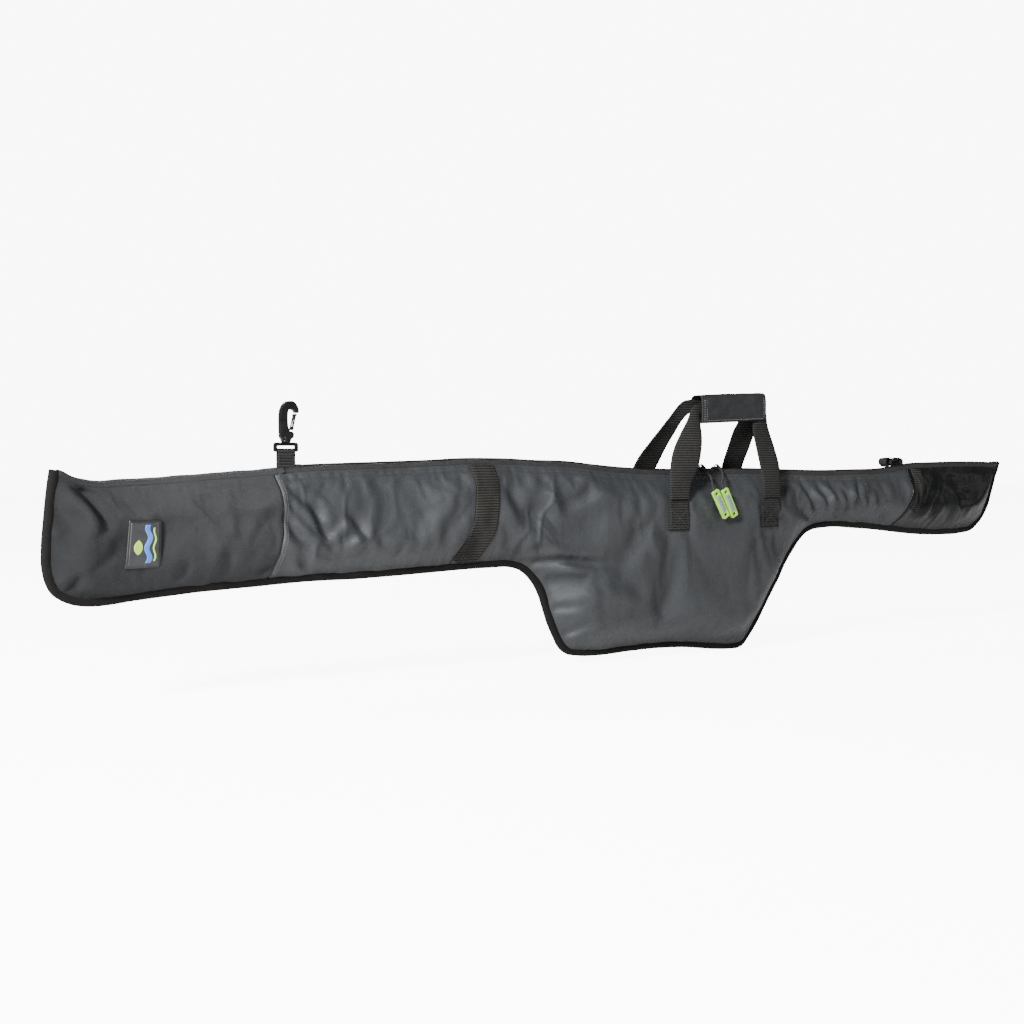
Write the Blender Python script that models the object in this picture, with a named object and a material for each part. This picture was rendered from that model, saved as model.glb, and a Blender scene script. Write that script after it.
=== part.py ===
# Long padded fishing rod case with a reel pouch, two-way zip, webbing handles and a snap hook.
# Modelled in millimetres, built in metres. +Z is up, +X runs from the tip end toward the butt
# end, and the front faces -Y. In case coordinates X starts near the tip end and Y = 0 is the
# plane of the edge seam and the zip.
import math
from collections import namedtuple

import bpy
import numpy as np
from mathutils import Vector
from mathutils.geometry import tessellate_polygon

for scene_object in list(bpy.data.objects):
    bpy.data.objects.remove(scene_object, do_unlink=True)

# ---------------------------------------------------------------- driving dimensions (mm)
CASE_CENTRE = (989.0, -3.0, 0.0)     # case coordinates of the world origin
NO_ORIGIN = (0.0, 0.0, 0.0)
FRONT, BACK = -1, 1                  # sign of Y

COVER = 1.1                          # outer fabric thickness
LAYER_GAP = 0.3                      # air between layers
PAD_EDGE, PAD_FULL = 1.3, 6.0        # padding thickness at the seams and in the middle
LINING = 0.8
FLANGE_WIDTH, FLANGE_Y = 12.5, 4.2   # flat margin along the edge: width, outer half thickness
RIM_Y, RIM_DROP = 12.0, 9.0          # top rim of a panel: half thickness, drop below the zip
CASE_Y, POUCH_EXTRA_Y = 34.0, 12.0   # half thickness of the case, and what the pouch adds
POUCH_START, POUCH_START_RAMP = 740.0, 200.0
POUCH_END, POUCH_END_RAMP = 1250.0, 180.0
EDGE_ROLL, RIM_ROLL = 62.0, 52.0     # distance over which a panel reaches full thickness

HINGE_Y, HINGE_Z = 50.0, 228.0       # fold line of the back panel when the mouth opens
LOWER_TOP, FLAP_BOTTOM = HINGE_Z - 0.5, HINGE_Z + 0.5
FLAP_ORIGIN = (1150.0, HINGE_Y, HINGE_Z)
SEAM_GAP, FLAP_SEAM_GAP = 0.4, 0.6   # gap between neighbouring cover pieces

# (x, z) ends of the two straight zip runs
ZIP_TIP, ZIP_MEET, ZIP_BUTT = (352.0, 326.5), (1192.0, 322.0), (1952.0, 330.0)

# (x, z) along the bottom of the outline, tip to butt
BOTTOM = [
    (0, 174), (8, 160), (20, 151), (34, 145), (60, 141), (117, 145), (206, 152), (298, 156),
    (396, 160), (472, 160), (606, 164), (719, 167), (758, 166), (790, 152), (814, 122),
    (836, 66), (858, 28), (890, 14), (933, 11), (1000, 13), (1064, 14), (1133, 11), (1204, 3),
    (1240, 1), (1268, 6), (1290, 30), (1313, 60), (1350, 114), (1388, 168), (1427, 203),
    (1466, 211), (1547, 209), (1630, 202), (1716, 193), (1805, 189), (1860, 190), (1897, 196),
    (1925, 214),
]
# (x, z) along the top of the closed tip part, up to the start of the zip
TIP_TOP = [(7, 326), (23, 323), (55, 313), (118, 313), (207, 318), (300, 323), ZIP_TIP]
# (x, z) down the tip end and up the butt end
TIP_END = [(7, 324), (3, 300), (-1, 262), (-5, 220), (-4, 190)]
BUTT_END = [(1943, 239), (1962, 281), (1981, 327)]
# extra x stations that refine the bottom edge where it bends
EXTRA_EDGE_X = [776, 803, 825, 847, 872, 1256, 1280, 1406, 1446, 1912]

# (x at the bottom edge, x at the top rim) of each panel column
COLUMN_X = [
    (7, 15), (28, 38), (60, 66), (117, 120), (190, 190), (260, 262), (318, 328), (330, 338),
    (372, 372), (472, 472), (560, 560), (640, 640), (700, 700), (745, 745), (774, 775),
    (790, 793), (803, 808), (814, 823), (825, 837), (836, 851), (846, 866), (858, 882),
    (878, 905), (933, 950), (1000, 1005), (1064, 1064), (1133, 1130), (1204, 1192),
    (1245, 1232), (1272, 1262), (1300, 1294), (1330, 1326), (1360, 1358), (1388, 1388),
    (1410, 1412), (1440, 1445), (1480, 1490), (1547, 1560), (1630, 1650), (1646, 1688),
    (1656, 1698), (1716, 1752), (1805, 1838), (1862, 1895),
]
# indices into COLUMNS, which has one tip-end column before those of COLUMN_X
TIP_SEAM, FIRST_CUT, BUTT_SEAM = 7, 10, 41

# fractions of the height above the flange (or above the fold line on the flap)
FRONT_STEPS = (0.14, 0.32, 0.55, 0.75, 0.9, 1.0)
LOWER_STEPS = (0.22, 0.5, 0.78, 1.0)
FLAP_STEPS = (0.33, 0.7, 1.0)

# ---------------------------------------------------------------- finishes
Finish = namedtuple("Finish", "color roughness metallic", defaults=(0.0,))
MAIN_COLOR, WEB_COLOR, METAL_COLOR = (0.085, 0.09, 0.096), (0.045, 0.043, 0.04), (0.03, 0.03, 0.032)
MAIN_FABRIC = Finish(color=MAIN_COLOR, roughness=0.6)
TIP_FABRIC = Finish(color=(0.06, 0.063, 0.068), roughness=0.8)
GLOSS_FABRIC = Finish(color=(0.012, 0.013, 0.015), roughness=0.3)
FOAM = Finish(color=(0.42, 0.42, 0.40), roughness=0.9)
LINING_FABRIC = Finish(color=(0.03, 0.03, 0.032), roughness=0.9)
BINDING = Finish(color=(0.012, 0.0115, 0.011), roughness=0.5)
WEBBING = Finish(color=WEB_COLOR, roughness=0.85)
LABEL = Finish(color=(0.03, 0.032, 0.036), roughness=0.85)
GRIP_BASE = Finish(color=WEB_COLOR, roughness=0.75)
GRIP_FLAP = Finish(color=MAIN_COLOR, roughness=0.75)
ZIP_TAPE = Finish(color=(0.02, 0.02, 0.021), roughness=0.8)
ZIP_COIL = Finish(color=(0.015, 0.015, 0.016), roughness=0.35)
ZIP_STOP = Finish(color=METAL_COLOR, roughness=0.4, metallic=0.6)
SLIDER_METAL = Finish(color=METAL_COLOR, roughness=0.3, metallic=0.9)
HOOK_METAL = Finish(color=METAL_COLOR, roughness=0.35, metallic=0.8)
GATE_METAL = Finish(color=METAL_COLOR, roughness=0.3, metallic=0.8)
CORD = Finish(color=(0.02, 0.02, 0.02), roughness=0.9)
TAG_GREEN = Finish(color=(0.30, 0.62, 0.06), roughness=0.4)


def material(name, finish):
    result = bpy.data.materials.new(name)
    result.use_nodes = True
    inputs = result.node_tree.nodes["Principled BSDF"].inputs
    inputs["Base Color"].default_value = (*finish.color, 1)
    inputs["Roughness"].default_value = finish.roughness
    inputs["Metallic"].default_value = finish.metallic
    return result


# ---------------------------------------------------------------- case form
def curve(points, x):
    """Smooth cubic through (x, z) points, evaluated at x."""
    knots = np.array([p[0] for p in points], float)
    heights = np.array([p[1] for p in points], float)
    slopes = np.gradient(heights, knots)
    k = int(np.clip(np.searchsorted(knots, x) - 1, 0, len(knots) - 2))
    step = knots[k + 1] - knots[k]
    t = min(max((x - knots[k]) / step, 0.0), 1.0)
    return float((2 * t**3 - 3 * t**2 + 1) * heights[k]
                 + (t**3 - 2 * t**2 + t) * step * slopes[k]
                 + (-2 * t**3 + 3 * t**2) * heights[k + 1]
                 + (t**3 - t**2) * step * slopes[k + 1])


def bottom_z(x):
    return curve(BOTTOM, x)


def zip_z(x):
    """Height of the top line: the closed tip part, then the two straight zip runs."""
    if x < ZIP_TIP[0]:
        return curve(TIP_TOP, x)
    start, end = (ZIP_TIP, ZIP_MEET) if x < ZIP_MEET[0] else (ZIP_MEET, ZIP_BUTT)
    t = (x - start[0]) / (end[0] - start[0])
    return start[1] * (1 - t) + end[1] * t


# edge path: tip top corner, down the tip end, along the bottom, up the butt end
EDGE = np.array(
    TIP_END
    + [(x, bottom_z(x)) for x in sorted([p[0] for p in BOTTOM] + EXTRA_EDGE_X)]
    + BUTT_END, float)


def edge_distance(x, z):
    point = np.array([x, z])
    start = EDGE[:-1]
    run = EDGE[1:] - start
    t = np.clip(((point - start) * run).sum(1) / (run * run).sum(1), 0, 1)
    return float(np.sqrt(((start + run * t[:, None] - point) ** 2).sum(1)).min())


def smooth(t):
    t = min(max(t, 0.0), 1.0)
    return t * t * (3 - 2 * t)


def rise(t):
    """Rounded shoulder from 0 to 1, steep at the start."""
    t = min(max(t, 0.0), 1.0)
    return 0.6 * math.sin(t * math.pi / 2) + 0.4 * smooth(t)


def half_thickness(x):
    pouch = (smooth((x - POUCH_START) / POUCH_START_RAMP)
             * (1 - smooth((x - POUCH_END) / POUCH_END_RAMP)))
    return CASE_Y + POUCH_EXTRA_Y * pouch


def outer_y(x, z):
    """Distance of the outer cover surface from the middle plane."""
    from_edge = rise((edge_distance(x, z) - FLANGE_WIDTH) / EDGE_ROLL)
    from_rim = rise((zip_z(x) - z - RIM_DROP) / RIM_ROLL)
    body = RIM_Y * (1 - from_rim) + half_thickness(x) * from_rim
    return FLANGE_Y * (1 - from_edge) + from_edge * body


def pad_thickness(x, z):
    fullness = (smooth((edge_distance(x, z) - FLANGE_WIDTH) / 25.0)
                * smooth((zip_z(x) - z - RIM_DROP - 2) / 20.0))
    return PAD_EDGE + (PAD_FULL - PAD_EDGE) * fullness


# ---------------------------------------------------------------- mesh builders
def add_object(name, geometry, finish, origin=NO_ORIGIN, smooth_shade=False):
    """geometry is (vertices, faces) and origin a point, both in case coordinates."""
    vertices, faces = geometry
    points = np.array(vertices, float)
    triangles = [(f[0], f[k], f[k + 1]) for f in faces for k in range(1, len(f) - 1)]
    a, b, c = (points[[t[i] for t in triangles]] for i in range(3))
    if (a * np.cross(b, c)).sum() < 0:      # negative volume: turn the faces outward
        faces = [tuple(reversed(f)) for f in faces]
    origin = np.array(origin, float)
    mesh = bpy.data.meshes.new(name)
    mesh.from_pydata([tuple(p) for p in (points - origin) / 1000], [], faces)
    mesh.materials.append(material(name + "_material", finish))
    for polygon in mesh.polygons:
        polygon.use_smooth = smooth_shade
    mesh.validate()
    result = bpy.data.objects.new(name, mesh)
    result.location = tuple((origin - np.array(CASE_CENTRE)) / 1000)
    bpy.context.scene.collection.objects.link(result)


def shell(outer, inner):
    """Closed solid between two equal grids of points."""
    rows, columns = len(outer), len(outer[0])
    vertices = [p for row in outer for p in row] + [p for row in inner for p in row]
    half = rows * columns
    faces = []
    for i in range(rows - 1):
        for j in range(columns - 1):
            a = i * columns + j
            b = a + columns
            faces.append((a, b, b + 1, a + 1))
            faces.append((half + a, half + a + 1, half + b + 1, half + b))

    def wall(a, b):
        faces.append((a, b, half + b, half + a))

    last_row = (rows - 1) * columns
    for j in range(columns - 1):
        wall(j, j + 1)
        wall(last_row + j + 1, last_row + j)
    for i in range(rows - 1):
        a = i * columns
        wall(a + columns, a)
        wall(a + columns - 1, a + 2 * columns - 1)
    return vertices, faces


def sweep(points, profile, frames, caps=None):
    """Closed profile swept along points; frames gives the two profile axes at each point.
    caps lists the faces that close a concave profile; by default one face closes it."""
    count, sides = len(points), len(profile)
    vertices = [tuple(np.array(point) + a * np.array(first) + b * np.array(second))
                for point, (first, second) in zip(points, frames) for a, b in profile]
    faces = []
    for i in range(count - 1):
        for j in range(sides):
            k = (j + 1) % sides
            faces.append((i * sides + j, i * sides + k,
                          (i + 1) * sides + k, (i + 1) * sides + j))
    for cap in caps or [tuple(range(sides))]:
        faces.append(tuple(reversed(cap)))
        faces.append(tuple((count - 1) * sides + k for k in cap))
    return vertices, faces


def tangent(points, i):
    """Unit direction of a line of points at index i, from its neighbours."""
    run = points[min(i + 1, len(points) - 1)] - points[max(i - 1, 0)]
    return run / np.linalg.norm(run)


def round_rod(points, radius, sides):
    points = [np.array(p, float) for p in points]
    frames = []
    for i in range(len(points)):
        along = tangent(points, i)
        first = np.cross(along, (0.0, 1.0, 0.0) if abs(along[1]) < 0.9 else (1.0, 0.0, 0.0))
        first /= np.linalg.norm(first)
        frames.append((first, np.cross(along, first)))
    angles = [2 * math.pi * k / sides for k in range(sides)]
    profile = [(radius * math.cos(a), radius * math.sin(a)) for a in angles]
    return sweep(points, profile, frames)


def plate(outline, holes, y_front, y_back):
    """Outline in (x, z) with holes, extruded in Y."""
    loops = [outline] + list(holes)
    vectors = [[Vector((x, z, 0)) for x, z in loop] for loop in loops]
    flat = [p for loop in vectors for p in loop]
    count = len(flat)
    vertices = [(p.x, y_front, p.y) for p in flat] + [(p.x, y_back, p.y) for p in flat]
    faces = []
    for a, b, c in tessellate_polygon(vectors):
        if (flat[b] - flat[a]).cross(flat[c] - flat[a]).z < 0:
            a, c = c, a
        faces.append((a, b, c))
        faces.append((count + c, count + b, count + a))
    first = 0
    for index, loop in enumerate(loops):
        size = len(loop)
        area = sum(loop[i][0] * loop[(i + 1) % size][1] - loop[(i + 1) % size][0] * loop[i][1]
                   for i in range(size))
        forward = (area > 0) == (index == 0)
        for i in range(size):
            a, b = first + i, first + (i + 1) % size
            if forward:
                a, b = b, a
            faces.append((a, b, count + b, count + a))
        first += size
    return vertices, faces


# ---------------------------------------------------------------- panel columns
# A column is a pair of (x, z) points: its bottom and its top.
def between(column, s):
    (x0, z0), (x1, z1) = column
    return x0 + (x1 - x0) * s, z0 + (z1 - z0) * s


def bottom_point(x):
    """Point just inside the bottom edge, inset more where the edge is steep."""
    slope = (bottom_z(x + 1) - bottom_z(x - 1)) / 2
    inset = 1.8 * math.sqrt(1 + slope * slope) + (1.2 if abs(slope) > 0.7 else 0.0)
    return x, bottom_z(x) + inset


def rim_z(x):
    return zip_z(x) - RIM_DROP


COLUMNS = [((2.5, 176.0), (10.0, 314.0))]
COLUMNS += [(bottom_point(low), (high, rim_z(high))) for low, high in COLUMN_X]
COLUMNS += [((1911.5, bottom_z(1911.5) + 2.2), (1968.5, rim_z(1968.5))),
            ((1923.3, 215.5), (1977.8, rim_z(1977)))]


def flange_fraction(column):
    """Fraction of the column at which it leaves the flat margin."""
    low, high = 0.0, 0.6
    for _ in range(30):
        middle = (low + high) / 2
        if edge_distance(*between(column, middle)) < FLANGE_WIDTH:
            low = middle
        else:
            high = middle
    return low


def panel_grid(columns, steps, flanged):
    rows = []
    for column in columns:
        start = flange_fraction(column) if flanged else 0.0
        fractions = [0.0, start] if flanged else [0.0]
        fractions += [start + (1 - start) * f for f in steps]
        row = []
        for s in fractions:
            x, z = between(column, s)
            if column[0][0] < 9:            # the tip end bows outward
                x -= 5.0 * math.sin(math.pi * s)
            row.append((x, z))
        rows.append(row)
    return rows


def layer_depths(x, z, kind):
    """Outer and inner distance of a layer from the middle plane."""
    y = outer_y(x, z)
    if kind == "cover":
        return y, y - COVER
    pad = pad_thickness(x, z)
    pad_outer = y - COVER - LAYER_GAP
    if kind == "padding":
        return pad_outer, pad_outer - pad
    lining_outer = pad_outer - pad - LAYER_GAP
    return lining_outer, lining_outer - LINING


def add_panel(name, kind, side, columns, steps, finish, origin=NO_ORIGIN, flanged=True):
    outer, inner = [], []
    for row in panel_grid(columns, steps, flanged):
        depths = [layer_depths(x, z, kind) for x, z in row]
        outer.append([(x, side * y, z) for (x, z), (y, _) in zip(row, depths)])
        inner.append([(x, side * y, z) for (x, z), (_, y) in zip(row, depths)])
    add_object(name, shell(outer, inner), finish, origin, smooth_shade=True)


def gap_first(columns, gap):
    """Move the first column toward the butt end to leave a seam gap."""
    return [tuple((x + gap, z) for x, z in columns[0])] + columns[1:]


def cut_columns(columns, level, keep):
    """Keep the part of each column below ("low") or above ("high") a level."""
    result = []
    for low, high in columns:
        s = (level - low[1]) / (high[1] - low[1])
        cut = (low[0] + (high[0] - low[0]) * s, level)
        result.append((low, cut) if keep == "low" else (cut, high))
    return result


INNER_LAYERS = (("padding", FOAM), ("lining", LINING_FABRIC))


def front_panel():
    for name, columns, finish in (
            ("tip", COLUMNS[:TIP_SEAM + 1], TIP_FABRIC),
            ("main", gap_first(COLUMNS[TIP_SEAM:BUTT_SEAM + 1], SEAM_GAP), MAIN_FABRIC),
            ("butt", gap_first(COLUMNS[BUTT_SEAM:], SEAM_GAP), GLOSS_FABRIC)):
        add_panel(name + "_cover_front", "cover", FRONT, columns, FRONT_STEPS, finish)
    for kind, finish in INNER_LAYERS:
        add_panel(kind + "_front", kind, FRONT, COLUMNS, FRONT_STEPS, finish)


def back_lower_panel():
    """The tip part and the strip below the fold line, which stay put."""
    tip_cut = ((377.0, bottom_z(377) + 1.6), (376.0, LOWER_TOP))
    butt_cut = ((1888.0, bottom_z(1888) + 1.6), (1906.0, LOWER_TOP))
    butt_columns = [butt_cut] + COLUMNS[-2:]
    main = (gap_first(COLUMNS[TIP_SEAM:FIRST_CUT], SEAM_GAP) + [tip_cut]
            + cut_columns(COLUMNS[FIRST_CUT:BUTT_SEAM + 1], LOWER_TOP, "low"))
    butt = cut_columns(gap_first(COLUMNS[BUTT_SEAM:-2], SEAM_GAP), LOWER_TOP, "low")
    whole = (COLUMNS[:FIRST_CUT] + [tip_cut]
             + cut_columns(COLUMNS[FIRST_CUT:-2], LOWER_TOP, "low") + butt_columns)
    for name, kind, columns, finish in (
            ("tip_cover_back", "cover", COLUMNS[:TIP_SEAM + 1], TIP_FABRIC),
            ("main_cover_back_lower", "cover", main, MAIN_FABRIC),
            ("butt_cover_back_lower", "cover", butt + butt_columns, GLOSS_FABRIC)):
        add_panel(name, kind, BACK, columns, LOWER_STEPS, finish)
    for kind, finish in INNER_LAYERS:
        add_panel(kind + "_back_lower", kind, BACK, whole, LOWER_STEPS, finish)


def back_flap():
    """The part above the fold line, which opens."""
    first = ((382.0, 161.5), (381.0, rim_z(381)))
    last = ((1884.0, 192.0), (1950.0, rim_z(1950)))
    whole = cut_columns([first] + COLUMNS[FIRST_CUT:-2] + [last], FLAP_BOTTOM, "high")
    seam = BUTT_SEAM - FIRST_CUT + 1
    pieces = [("main_cover", "cover", whole[:seam + 1], MAIN_FABRIC),
              ("butt_cover", "cover", gap_first(whole[seam:], FLAP_SEAM_GAP), GLOSS_FABRIC)]
    pieces += [(kind, kind, whole, finish) for kind, finish in INNER_LAYERS]
    for name, kind, columns, finish in pieces:
        add_panel(name + "_back_flap", kind, BACK, columns, FLAP_STEPS, finish,
                  origin=FLAP_ORIGIN, flanged=False)


front_panel()
back_lower_panel()
back_flap()


# ---------------------------------------------------------------- edge binding
def edge_binding():
    """U-shaped strip over the edge of both panels."""
    thickness, reach, lip = 1.2, 9.0, 1.5
    half = FLANGE_Y + 0.4
    # (across in Y, outward from the edge)
    profile = [(-half - thickness, -reach), (-half - thickness, lip), (half + thickness, lip),
               (half + thickness, -reach), (half, -reach), (half, lip - thickness),
               (-half, lip - thickness), (-half, -reach)]
    frames = []
    for i in range(len(EDGE)):
        along_x, along_z = tangent(EDGE, i)
        frames.append(((0.0, 1.0, 0.0), (along_z, 0.0, -along_x)))
    geometry = sweep([(x, 0.0, z) for x, z in EDGE], profile, frames,
                     caps=[(0, 1, 6, 7), (1, 2, 5, 6), (2, 3, 4, 5)])
    add_object("edge_binding", geometry, BINDING)


edge_binding()


# ---------------------------------------------------------------- top of the case, and the zip
def tip_top_fold():
    """Fabric that bridges the two panels along the closed tip part."""
    thickness = 1.2

    def row(x, edge_y, shoulder_y, drop):
        z = zip_z(x)
        edge_z, shoulder_z = z - RIM_DROP + 0.8, z - 4.2 - drop
        return [(x, -edge_y, edge_z), (x, -shoulder_y, shoulder_z), (x, 0, z - 1.0 - drop),
                (x, shoulder_y, shoulder_z), (x, edge_y, edge_z)]

    outer, inner = [], []
    for x in (22, 38, 66, 120, 190, 262, 328, 338, 368):
        y = outer_y(x, rim_z(x))
        outer.append(row(x, y, y * 0.7, 0.0))
        inner.append(row(x, y - thickness, y * 0.7 - 0.8, thickness))
    add_object("tip_top_fold", shell(outer, inner), TIP_FABRIC)


def zip_half(name, side, origin):
    """Tape from the panel rim to the coil, and the coil beside the middle plane."""
    tape_y = 3.4
    outer, inner = [], []
    for x in (386, 560, 780, 1000, 1192, 1400, 1700, 1900, 1946):
        z = zip_z(x)
        y = outer_y(x, rim_z(x))
        outer.append([(x, side * y, rim_z(x) + 0.5), (x, side * tape_y, z - 1.6)])
        inner.append([(x, side * (y - 1.0), rim_z(x) + 0.3), (x, side * tape_y, z - 2.9)])
    add_object("zip_tape_" + name, shell(outer, inner), ZIP_TAPE, origin)
    # (distance from the middle plane, height above the zip line)
    profile = [(0.25, -2.9), (0.25, -0.4), (1.4, 0.0), (3.1, -0.9), (3.1, -2.9)]
    points = [(x, 0.0, zip_z(x)) for x in (386, 1192, 1944)]
    frames = [((0.0, side, 0.0), (0.0, 0.0, 1.0))] * 3
    add_object("zip_coil_" + name, sweep(points, profile, frames), ZIP_COIL, origin)


def zip_stop(name, x):
    z = zip_z(x) - 2.6
    profile = [(-4.5, -2), (-4.5, 1.0), (-3, 2.2), (3, 2.2), (4.5, 1.0), (4.5, -2)]
    geometry = sweep([(x - 5, 0, z), (x + 5, 0, z)], profile, [((0, 1, 0), (0, 0, 1))] * 2)
    add_object(name, geometry, ZIP_STOP)


tip_top_fold()
zip_half("front", FRONT, NO_ORIGIN)
zip_half("back", BACK, FLAP_ORIGIN)
zip_stop("zip_stop_tip", 376.5)
zip_stop("zip_stop_butt", 1956.0)


# ---------------------------------------------------------------- sliders and pulls
def slider(side, x, start, end):
    """Cap over the front coil with a front lip, tilted along its zip run."""
    # (y, height above the zip line)
    profile = [(-5.6, -1.9), (-5.6, 1.4), (-4.6, 2.4), (-0.2, 2.4),
               (-0.2, 0.5), (-3.7, 0.5), (-4.3, -0.2), (-4.3, -1.6)]
    along = np.array([end[0] - start[0], 0, end[1] - start[1]])
    along = along / np.linalg.norm(along)
    origin = (x, 0, zip_z(x))
    points = [np.array(origin) + along * s for s in (-7.5, -4, 4, 7.5)]
    geometry = sweep(points, profile, [((0, 1, 0), (0, 0, 1))] * 4,
                     caps=[(0, 1, 6, 7), (1, 2, 3, 4, 5, 6)])
    add_object("slider_" + side + "_body", geometry, SLIDER_METAL, origin)


def rounded_rectangle(start, end, half_width, radius, corner_steps):
    """(along, across) outline from start to end along its length."""
    low, high = start + radius, end - radius
    side = half_width - radius
    points = []
    for along, across, first_angle in ((low, -side, 180), (high, -side, 270),
                                       (high, side, 0), (low, side, 90)):
        for k in range(corner_steps + 1):
            angle = math.radians(first_angle + 90 * k / corner_steps)
            points.append((along + radius * math.cos(angle), across + radius * math.sin(angle)))
    return points


def pull(side, x, tag_top, tag_run):
    """Cord from the slider to a slotted tag; tag_top and tag_run are in (x, z)."""
    z = zip_z(x)
    tag_x, tag_z = tag_top
    origin = (x, -7.2, z - 1.0)
    cord = [(x, -7.4, z - 1.0), (x - 1, -14.5, z - 4.0),
            ((x + tag_x) / 2, -36, (z + tag_z) / 2 + 5),
            (tag_x + 0.5, -48.5, tag_z + 8), (tag_x + 1, -50.5, tag_z + 0.6)]
    add_object("pull_cord_" + side, round_rod(cord, 1.3, 8), CORD, origin, smooth_shade=True)

    along = np.array(tag_run) / np.linalg.norm(tag_run)
    across = np.array([-along[1], along[0]])
    outline, slot_top, slot_bottom = (
        [tuple(np.array(tag_top) + a * along + b * across) for a, b in rounded_rectangle(*size)]
        for size in ((0, 52, 7.4, 3.0, 4), (4, 9.5, 2.8, 1.0, 2), (43, 48.5, 2.8, 1.0, 2)))
    tag = plate(outline, [slot_top, slot_bottom], -56.4, -52.4)
    add_object("pull_tag_" + side, tag, TAG_GREEN, origin)


LEFT_SLIDER_X, RIGHT_SLIDER_X = 1168.0, 1204.0
slider("left", LEFT_SLIDER_X, ZIP_TIP, ZIP_MEET)
slider("right", RIGHT_SLIDER_X, ZIP_MEET, ZIP_BUTT)
pull("left", LEFT_SLIDER_X, tag_top=(1151.25, 283.5), tag_run=(28.5, -48.0))
pull("right", RIGHT_SLIDER_X, tag_top=(1173.0, 286.0), tag_run=(26.0, -49.0))


# ---------------------------------------------------------------- webbing on the panels
def band(name, side, line, span, width, steps, lift=0.9, thickness=1.5, finish=WEBBING,
         origin=NO_ORIGIN):
    """Strip laid on a panel along part (span) of a line between two (x, z) points."""
    outer, inner = [], []
    for k in range(steps + 1):
        middle_x, z = between(line, span[0] + (span[1] - span[0]) * k / steps)
        outer_row, inner_row = [], []
        for j in range(4):
            x = middle_x + (j / 3 - 0.5) * width
            # the highest nearby surface, so that the strip clears the cover
            y = lift + max(outer_y(x + dx, z + dz) for dx in (-9, 0, 9) for dz in (-5, 0, 5))
            outer_row.append((x, side * (y + thickness), z))
            inner_row.append((x, side * y, z))
        outer.append(outer_row)
        inner.append(inner_row)
    add_object(name, shell(outer, inner), finish, origin)


def belly_band():
    """Band round the case on the tip side of the pouch, split at the fold line."""
    foot_z, split_low, split_high = 166.0, 226.0, 230.5
    top_z = zip_z(693) - 10.0
    line = ((676.0, foot_z), (693.0, top_z))
    low, high = ((z - foot_z) / (top_z - foot_z) for z in (split_low, split_high))
    band("belly_band_front", FRONT, line, (0.10, 1.0), width=48, steps=9)
    band("belly_band_back_lower", BACK, line, (0.10, low), width=48, steps=4)
    band("belly_band_back_flap", BACK, line, (high, 1.0), width=48, steps=5,
         origin=FLAP_ORIGIN)


def handle_anchor(name, side, x_left, x_right, z_low, z_high, origin):
    x = (x_left + x_right) / 2
    band("handle_anchor_" + name, side, ((x, z_low), (x, z_high)), (0, 1),
         width=x_right - x_left, steps=3, lift=0.8, thickness=1.6, origin=origin)


belly_band()
band("butt_band_front", FRONT, ((1674.0, 200.0), (1715.0, zip_z(1715) - 10.0)), (0.12, 0.97),
     width=26, steps=7, lift=1.1)
band("label_patch", FRONT, ((121.0, 190.0), (126.0, 256.0)), (0, 1),
     width=46, steps=4, thickness=1.6, finish=LABEL)
handle_anchor("front_left", FRONT, 1055, 1098, 217, 266, NO_ORIGIN)
handle_anchor("front_right", FRONT, 1271, 1315, 217, 266, NO_ORIGIN)
handle_anchor("back_left", BACK, 1040, 1084, 232, 272, FLAP_ORIGIN)
handle_anchor("back_right", BACK, 1262, 1306, 232, 272, FLAP_ORIGIN)

# ---------------------------------------------------------------- handles
FRONT_AXIS, BACK_AXIS = (1190.0, -51.5, 268.5), (1190.0, 51.5, 274.5)
# stations from the left foot over the grip to the right foot:
# (x, y, z) of the strap's outer edge, (x, y, z) of its inner edge
FRONT_STRAP = [
    ((1055, -49.5, 270), (1098, -49.5, 270)), ((1060, -45, 297), (1104, -46, 297)),
    ((1076, -30, 342), (1128, -38, 342)), ((1104, -18, 380), (1146, -24, 380)),
    ((1126, -8, 405), (1155, -12, 401)), ((1146, -4.4, 432), (1158, -5.0, 414)),
    ((1180, -2.6, 437), (1180, -2.6, 413)), ((1230, -2.6, 438), (1230, -2.6, 414)),
    ((1280, -2.6, 440), (1278, -2.6, 415)), ((1304, -2.6, 440), (1290, -3.4, 412)),
    ((1319, -4.5, 425), (1286, -6, 403)), ((1319, -8, 399), (1281, -12, 388)),
    ((1322, -30, 342), (1277, -33, 342)), ((1316, -45, 297), (1272, -46, 297)),
    ((1314, -49.5, 270), (1271, -49.5, 270)),
]
BACK_STRAP = [
    ((1040, 50.5, 276), (1084, 50.5, 276)), ((1042, 42, 310), (1094, 44, 310)),
    ((1064, 28, 350), (1112, 34, 350)), ((1086, 16, 385), (1126, 22, 385)),
    ((1108, 10, 412), (1138, 12, 405)), ((1132, 4.4, 438), (1150, 4.6, 418)),
    ((1180, 3.6, 440), (1180, 3.6, 413)), ((1230, 3.6, 441), (1230, 3.6, 414)),
    ((1280, 3.6, 442), (1270, 3.6, 415)), ((1304, 3.8, 440), (1268, 4.0, 412)),
    ((1309, 4.2, 425), (1262, 5.0, 402)), ((1308, 5.5, 399), (1258, 9, 388)),
    ((1304, 28, 345), (1256, 30, 345)), ((1300, 40, 310), (1256, 42, 310)),
    ((1304, 50.5, 276), (1262, 50.5, 276)),
]


def handle_strap(name, stations, axis, thickness=1.5):
    edges = np.array(stations, float)
    middles = edges.mean(axis=1)
    toward_back, toward_front = [], []
    for i, (a, b) in enumerate(edges):
        normal = np.cross(tangent(middles, i), b - a)
        normal = normal / np.linalg.norm(normal)
        if normal[1] < 0:
            normal = -normal
        offset = normal * thickness / 2
        toward_back.append([tuple(p + offset) for p in (a, middles[i], b)])
        toward_front.append([tuple(p - offset) for p in (a, middles[i], b)])
    add_object(name, shell(toward_back, toward_front), WEBBING, axis)


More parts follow.
